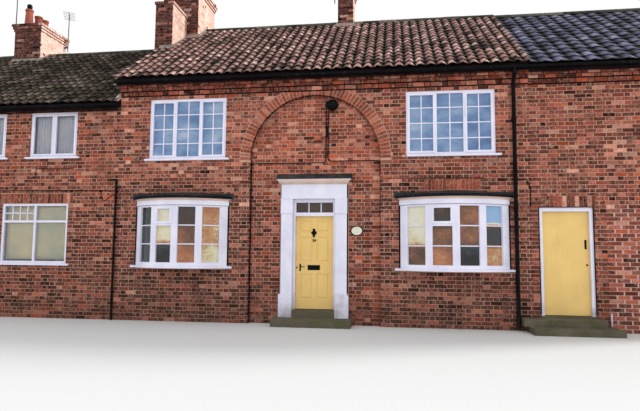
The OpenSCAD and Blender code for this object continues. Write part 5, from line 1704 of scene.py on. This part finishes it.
def painted_shade_seams():
    """Dark strips of painted shade where the brick meets the door surround, the recess, the side door and the
    bows.
    """
    bm = bmesh.new()
    mirrored(bm, 0.698, 0.724, RECESS - 0.008, RECESS + 0.002, 0.66, 2.93)
    mirrored(bm, 0.76, 0.815, RECESS - 0.008, RECESS + 0.002, 3.00, 3.045)
    for x0, x1, z0 in ((-ARCH_R - 0.002, -ARCH_R + 0.026, 0.0), (ARCH_R - 0.014, ARCH_R + 0.002, 1.9)):
        board(bm, (x0, RECESS - 0.012, z0), (x1, RECESS + 0.002, SPRING), 0.0)
    seams = [(4.527, 5.573, 2.428, 2.446), (5.553, 5.573, 0.33, 2.44), (4.527, 4.547, 0.33, 2.44)]
    for bow in BOWS:
        for side in (-1, 1):
            edge = bow.centre.x + side * bow.radius * math.sin(bow.half)
            seams.append((*sorted((edge - side * 0.01, edge + side * 0.024)), 1.20, 2.62))
    for x0, x1, z0, z1 in seams:
        board(bm, (x0, -0.006, z0), (x1, 0.004, z1), 0.0)
    piece_from("painted_shade_seams", bm, near_black_shade)


def door_hollow():
    """The hollow moulding under the cap of the door surround, coloured in warm painted shade."""
    bm = bmesh.new()
    top, tall, wide = 3.044, 0.098, 1.57
    profile = [(-0.075, top), (-0.070, 3.018), (-0.052, 2.984), (-0.024, 2.960), (0.010, 2.948),
               (0.026, 2.946), (0.026, top)]
    push(bm, [bm.faces.new([bm.verts.new((-wide / 2, y, z)) for y, z in profile])], (wide, 0, 0))
    for vert in bm.verts:
        vert.co.x *= 1 - 0.085 * (top - vert.co.z) / tall
    piece_from("door_hollow", bm, hollow_painted_shade, smooth=math.radians(30))


window_panes()
six_panel_leaf()
shadow_joints()
painted_shade_seams()
door_hollow()
arch_lamp()
wall_cables()
gutter_brackets()
door_furniture()
bare_plaque()
small_pipes()
roof_flashing()
net_curtains()
blinds()


# Camera of the photograph, solved from its straight edges
def photo_camera():
    yaw, pitch, roll = 0.13834, 0.08678, -0.00788
    stand = (1.67677, -11.07114, 1.5171)
    turn = Matrix.Rotation(yaw, 3, "Z") @ Matrix.Rotation(pitch, 3, "X") @ Matrix.Rotation(roll, 3, "Y")
    right, ahead, up = turn.col
    data = bpy.data.cameras.new("photo_camera")
    data.lens = 29.91
    data.sensor_width = 36
    data.clip_end = 200
    camera = bpy.data.objects.new("photo_camera", data)
    axes = Matrix((right, up, -ahead)).transposed()
    camera.matrix_world = Matrix.Translation(stand) @ axes.to_4x4()
    bpy.context.scene.collection.objects.link(camera)
    bpy.context.scene.camera = camera


def floor_and_light():
    bm = bmesh.new()
    bmesh.ops.create_grid(bm, x_segments=1, y_segments=1, size=60)
    bmesh.ops.translate(bm, vec=(0, 0, -0.001), verts=bm.verts[:])
    mesh = bpy.data.meshes.new("pale_floor")
    bm.to_mesh(mesh)
    bm.free()
    ground = bpy.data.objects.new("pale_floor", mesh)
    material, tree, shader = new_material("pale_floor", 0.95)
    shader.inputs["Base Color"].default_value = (0.62, 0.62, 0.61, 1)
    mesh.materials.append(material)
    bpy.context.scene.collection.objects.link(ground)
    world = bpy.data.worlds.new("soft_studio")
    bpy.context.scene.world = world
    world.use_nodes = True
    tree = world.node_tree
    tree.nodes.clear()
    rays = node(tree, "ShaderNodeLightPath").outputs
    mirrored_ray = calc(tree, "MAXIMUM", rays["Is Glossy Ray"], rays["Is Transmission Ray"])
    seen = calc(tree, "MAXIMUM", rays["Is Camera Ray"], mirrored_ray)
    soft = node(tree, "ShaderNodeBackground", {"Color": (0.96, 0.98, 1.0, 1), "Strength": 1.2})
    white = node(tree, "ShaderNodeBackground", {"Color": (1, 1, 1, 1), "Strength": 1.0})
    both = node(tree, "ShaderNodeMixShader", {0: seen, 1: soft.outputs[0], 2: white.outputs[0]})
    node(tree, "ShaderNodeOutputWorld", {"Surface": both.outputs[0]})
    sun = bpy.data.lights.new("soft_sun", "SUN")
    sun.energy = 3.0
    sun.angle = math.radians(12)
    lamp = bpy.data.objects.new("soft_sun", sun)
    lamp.rotation_euler = Vector((0.84, 0.33, 0.48)).to_track_quat("Z", "Y").to_euler()
    bpy.context.scene.collection.objects.link(lamp)


photo_camera()
floor_and_light()
bpy.context.scene.view_settings.view_transform = "Standard"
